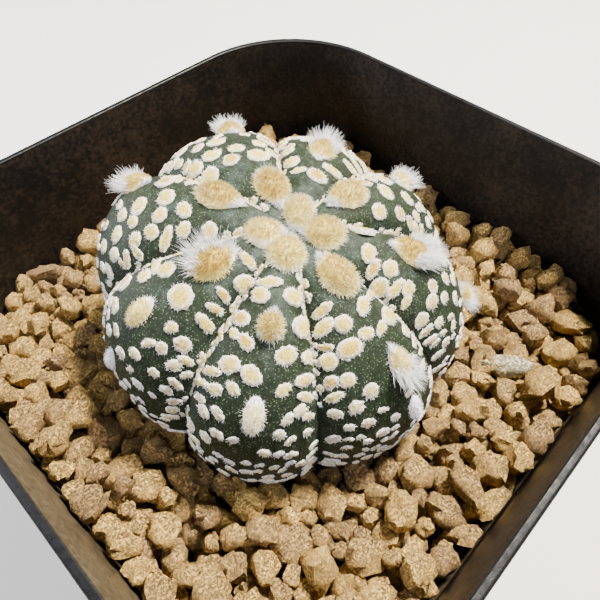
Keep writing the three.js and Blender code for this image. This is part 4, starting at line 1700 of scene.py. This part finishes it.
class WOOL_OT_build(bpy.types.Operator):
    """Grows the wool on the areoles: a felt pad each, its short nap, and long white plumes"""

    bl_idname = "potted_cactus.wool"
    bl_label = "Areole wool"

    def execute(self, context):
        settings = context.scene.potted_cactus_plant
        material = plant_wool(settings)
        draw = seeded(WOOL_SEED)
        vertices, faces, whites = [], [], []
        nap, plumes = Hairs(settings.hair_width), Hairs(settings.hair_width)
        for rib, fall, length, width, kind, white, swing in AREOLES:
            wool = WOOL[kind]
            place = skin_frame(RIBS[rib]["line"] + swing, fall)

            def on_pad(share, angle):
                """A point on the pad by share of its radius and angle, and how far along."""
                x, y = share * math.cos(angle), share * math.sin(angle)
                pinch = 1 - wool["pinch"] * min(x, 0) ** 2
                pull = 1 + 0.35 * wool["pinch"] if x < 0 else 1
                z = wool["height"] * (1 - share**2.4) * (1 + 0.2 * x) - 0.15 * share
                return Vector((x * pull * length / 2, y * pinch * width / 2, z)), x

            start = len(vertices)
            for share in WOOL_SHARES:
                for side in range(WOOL_SIDES):
                    point, along = on_pad(share, side / WOOL_SIDES * 2 * math.pi)
                    if share > 1:
                        point.z = WOOL_FOOT
                    point += Vector([0.2 * (draw() - 0.5) for _ in range(3)])
                    vertices.append(place @ point)
                    whites.append(self.paleness(white, share, along))
            vertices.append(place @ on_pad(0, 0)[0])
            whites.append(self.paleness(white, 0, 0))
            faces += [
                tuple(start + i for i in face)
                for face in loft_faces(len(WOOL_SHARES), WOOL_SIDES, first_cap=False)
            ]

            def stand(hairs, root, heading, reach, pale):
                sunk = root - Vector((0, 0, HAIR_SUNK))
                length, spin = (reach + HAIR_SUNK) * MM, draw() * 2 * math.pi
                hairs.stand(place, sunk, heading, length, min(max(pale, 0), 1), spin)

            for _ in range(wool["hairs"]):
                share, angle = math.sqrt(draw()), draw() * 2 * math.pi
                root, along = on_pad(share, angle)
                heading = Vector(
                    (
                        1.1 * share * math.cos(angle) + 0.5 * (draw() - 0.5),
                        1.1 * share * math.sin(angle) + 0.5 * (draw() - 0.5),
                        1.0 - 0.75 * share**2,
                    )
                )
                pale = self.paleness(white, share, along) + 0.22 * (draw() - 0.5)
                stand(nap, root, heading, wool["hair"] * (0.45 + 0.7 * draw()), pale)
            count, longest, lean = wool["plume"]
            lean = math.radians(lean)
            for _ in range(count):
                share, spread = 0.35 + 0.6 * math.sqrt(draw()), (draw() - 0.5) * 1.05 * math.pi
                root, _ = on_pad(share, lean + spread)
                heading = Vector(
                    (0.3 + 0.8 * share * math.cos(spread), 0.9 * share * math.sin(spread), 0.8)
                )
                heading.rotate(Quaternion((0, 0, 1), lean))
                heading += Vector([0.45 * (draw() - 0.5) for _ in range(3)])
                along = max(share * math.cos(spread), 0)
                reach = longest * (0.3 + 0.8 * draw()) * (0.45 + 0.55 * along)
                stand(plumes, root, heading, reach, 0.85 + 0.15 * draw())
        pads = mesh_object("areole_felt", vertices, faces, material, {"white": whites})
        finish_piece(pads, "cactus", "cactus")
        nap.grow("areole_nap", material, 1, 0.0)
        plumes.grow("areole_plumes", material, 4, PLUME_BEND)
        return {"FINISHED"}

    def paleness(self, white, share, along):
        """Young wool is golden in the middle and pale at its rim and at the end near the crown."""
        rim = smooth((share - 0.72) / 0.28)
        return min(white + (1 - white) * (0.45 * rim + 0.85 * smooth((-along - 0.5) / 0.4)), 1)


class STAGE_OT_build(bpy.types.Operator):
    """Sets the pale floor, the soft lights and the camera"""

    bl_idname = "potted_cactus.stage"
    bl_label = "Stage"

    def execute(self, context):
        settings = context.scene.potted_cactus_stage
        card = matte_card("pale card", settings.floor_hex)
        sides = ((-1, -1), (1, -1), (1, 1), (-1, 1))
        corners = [(x * FLOOR_HALF, y * FLOOR_HALF, 0) for x, y in sides]
        floor = mesh_object("floor", corners, [(0, 1, 2, 3)], card)
        floor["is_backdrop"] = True
        for name, place, size, share, code in LIGHTS:
            self.light(name, place, size, settings.light * share, code)
        world = bpy.data.worlds.new("pale room")
        world.use_nodes = True
        background = world.node_tree.nodes["Background"]
        background.inputs["Color"].default_value = rgba(ROOM_HEX)
        background.inputs["Strength"].default_value = ROOM_LIGHT
        context.scene.world = world
        self.place_camera(context)
        return {"FINISHED"}

    def light(self, name, place, size, power, code):
        data = bpy.data.lights.new(name, "AREA")
        data.color = linear(code)
        data.shape = "DISK"
        data.size = size
        data.energy = power
        lamp = bpy.data.objects.new(name, data)
        lamp.location = place
        aim = LIGHTS_AIM - Vector(place)
        lamp.rotation_euler = aim.to_track_quat("-Z", "Y").to_euler()
        bpy.context.collection.objects.link(lamp)

    def place_camera(self, context):
        pitch, yaw, roll = (math.radians(degrees) for degrees in CAMERA_TURN)
        forward = Vector(
            (
                math.sin(yaw) * math.cos(pitch),
                math.cos(yaw) * math.cos(pitch),
                -math.sin(pitch),
            )
        )
        level = Vector((math.cos(yaw), -math.sin(yaw), 0))
        upright = level.cross(forward)
        right = math.cos(roll) * level + math.sin(roll) * upright
        up = -math.sin(roll) * level + math.cos(roll) * upright
        data = bpy.data.cameras.new("camera")
        data.sensor_width = 36
        data.lens = CAMERA_LENS
        data.clip_start = 0.01
        camera = bpy.data.objects.new("camera", data)
        turn = Matrix((right, up, -forward)).transposed().to_4x4()
        camera.matrix_world = Matrix.Translation(CAMERA_PLACE) @ turn
        context.collection.objects.link(camera)
        context.scene.camera = camera


class CACTUS_PT_panel(bpy.types.Panel):
    """The potted cactus's sizes, colours and build steps"""

    bl_idname = "CACTUS_PT_panel"
    bl_label = "Potted cactus"
    bl_space_type = "VIEW_3D"
    bl_region_type = "UI"
    bl_category = "Cactus"

    def draw(self, context):
        scene = context.scene
        groups = [
            (scene.potted_cactus_pot, ["potted_cactus.pot"]),
            (scene.potted_cactus_soil, ["potted_cactus.soil"]),
            (scene.potted_cactus_plant, PLANT_STEPS),
            (scene.potted_cactus_stage, ["potted_cactus.stage"]),
        ]
        for settings, steps in groups:
            box = self.layout.box()
            for key in settings.bl_rna.properties.keys():
                if key not in ("rna_type", "name"):
                    box.prop(settings, key)
            for step in steps:
                box.operator(step)


PLANT_STEPS = [
    "potted_cactus.body",
    "potted_cactus.flecks",
    "potted_cactus.threads",
    "potted_cactus.wool",
]
SETTINGS = {
    "potted_cactus_pot": PotSettings,
    "potted_cactus_soil": SoilSettings,
    "potted_cactus_plant": CactusSettings,
    "potted_cactus_stage": StageSettings,
}
CLASSES = [
    *SETTINGS.values(),
    POT_OT_build,
    SOIL_OT_build,
    BODY_OT_build,
    FLECKS_OT_build,
    THREADS_OT_build,
    WOOL_OT_build,
    STAGE_OT_build,
    CACTUS_PT_panel,
]


def register():
    for each in CLASSES:
        bpy.utils.register_class(each)
    for key, group in SETTINGS.items():
        setattr(bpy.types.Scene, key, bpy.props.PointerProperty(type=group))


def unregister():
    for key in SETTINGS:
        delattr(bpy.types.Scene, key)
    for each in reversed(CLASSES):
        bpy.utils.unregister_class(each)


def main():
    register()
    bpy.ops.potted_cactus.stage()
    bpy.ops.potted_cactus.pot()
    bpy.ops.potted_cactus.soil()
    bpy.ops.potted_cactus.body()
    bpy.ops.potted_cactus.flecks()
    bpy.ops.potted_cactus.threads()
    bpy.ops.potted_cactus.wool()
    boxes = {"cad": CAD_BOX, "visual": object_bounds()}
    {key: [list(corner) for corner in box] for key, box in boxes.items()}


if __name__ == "__main__":
    main()
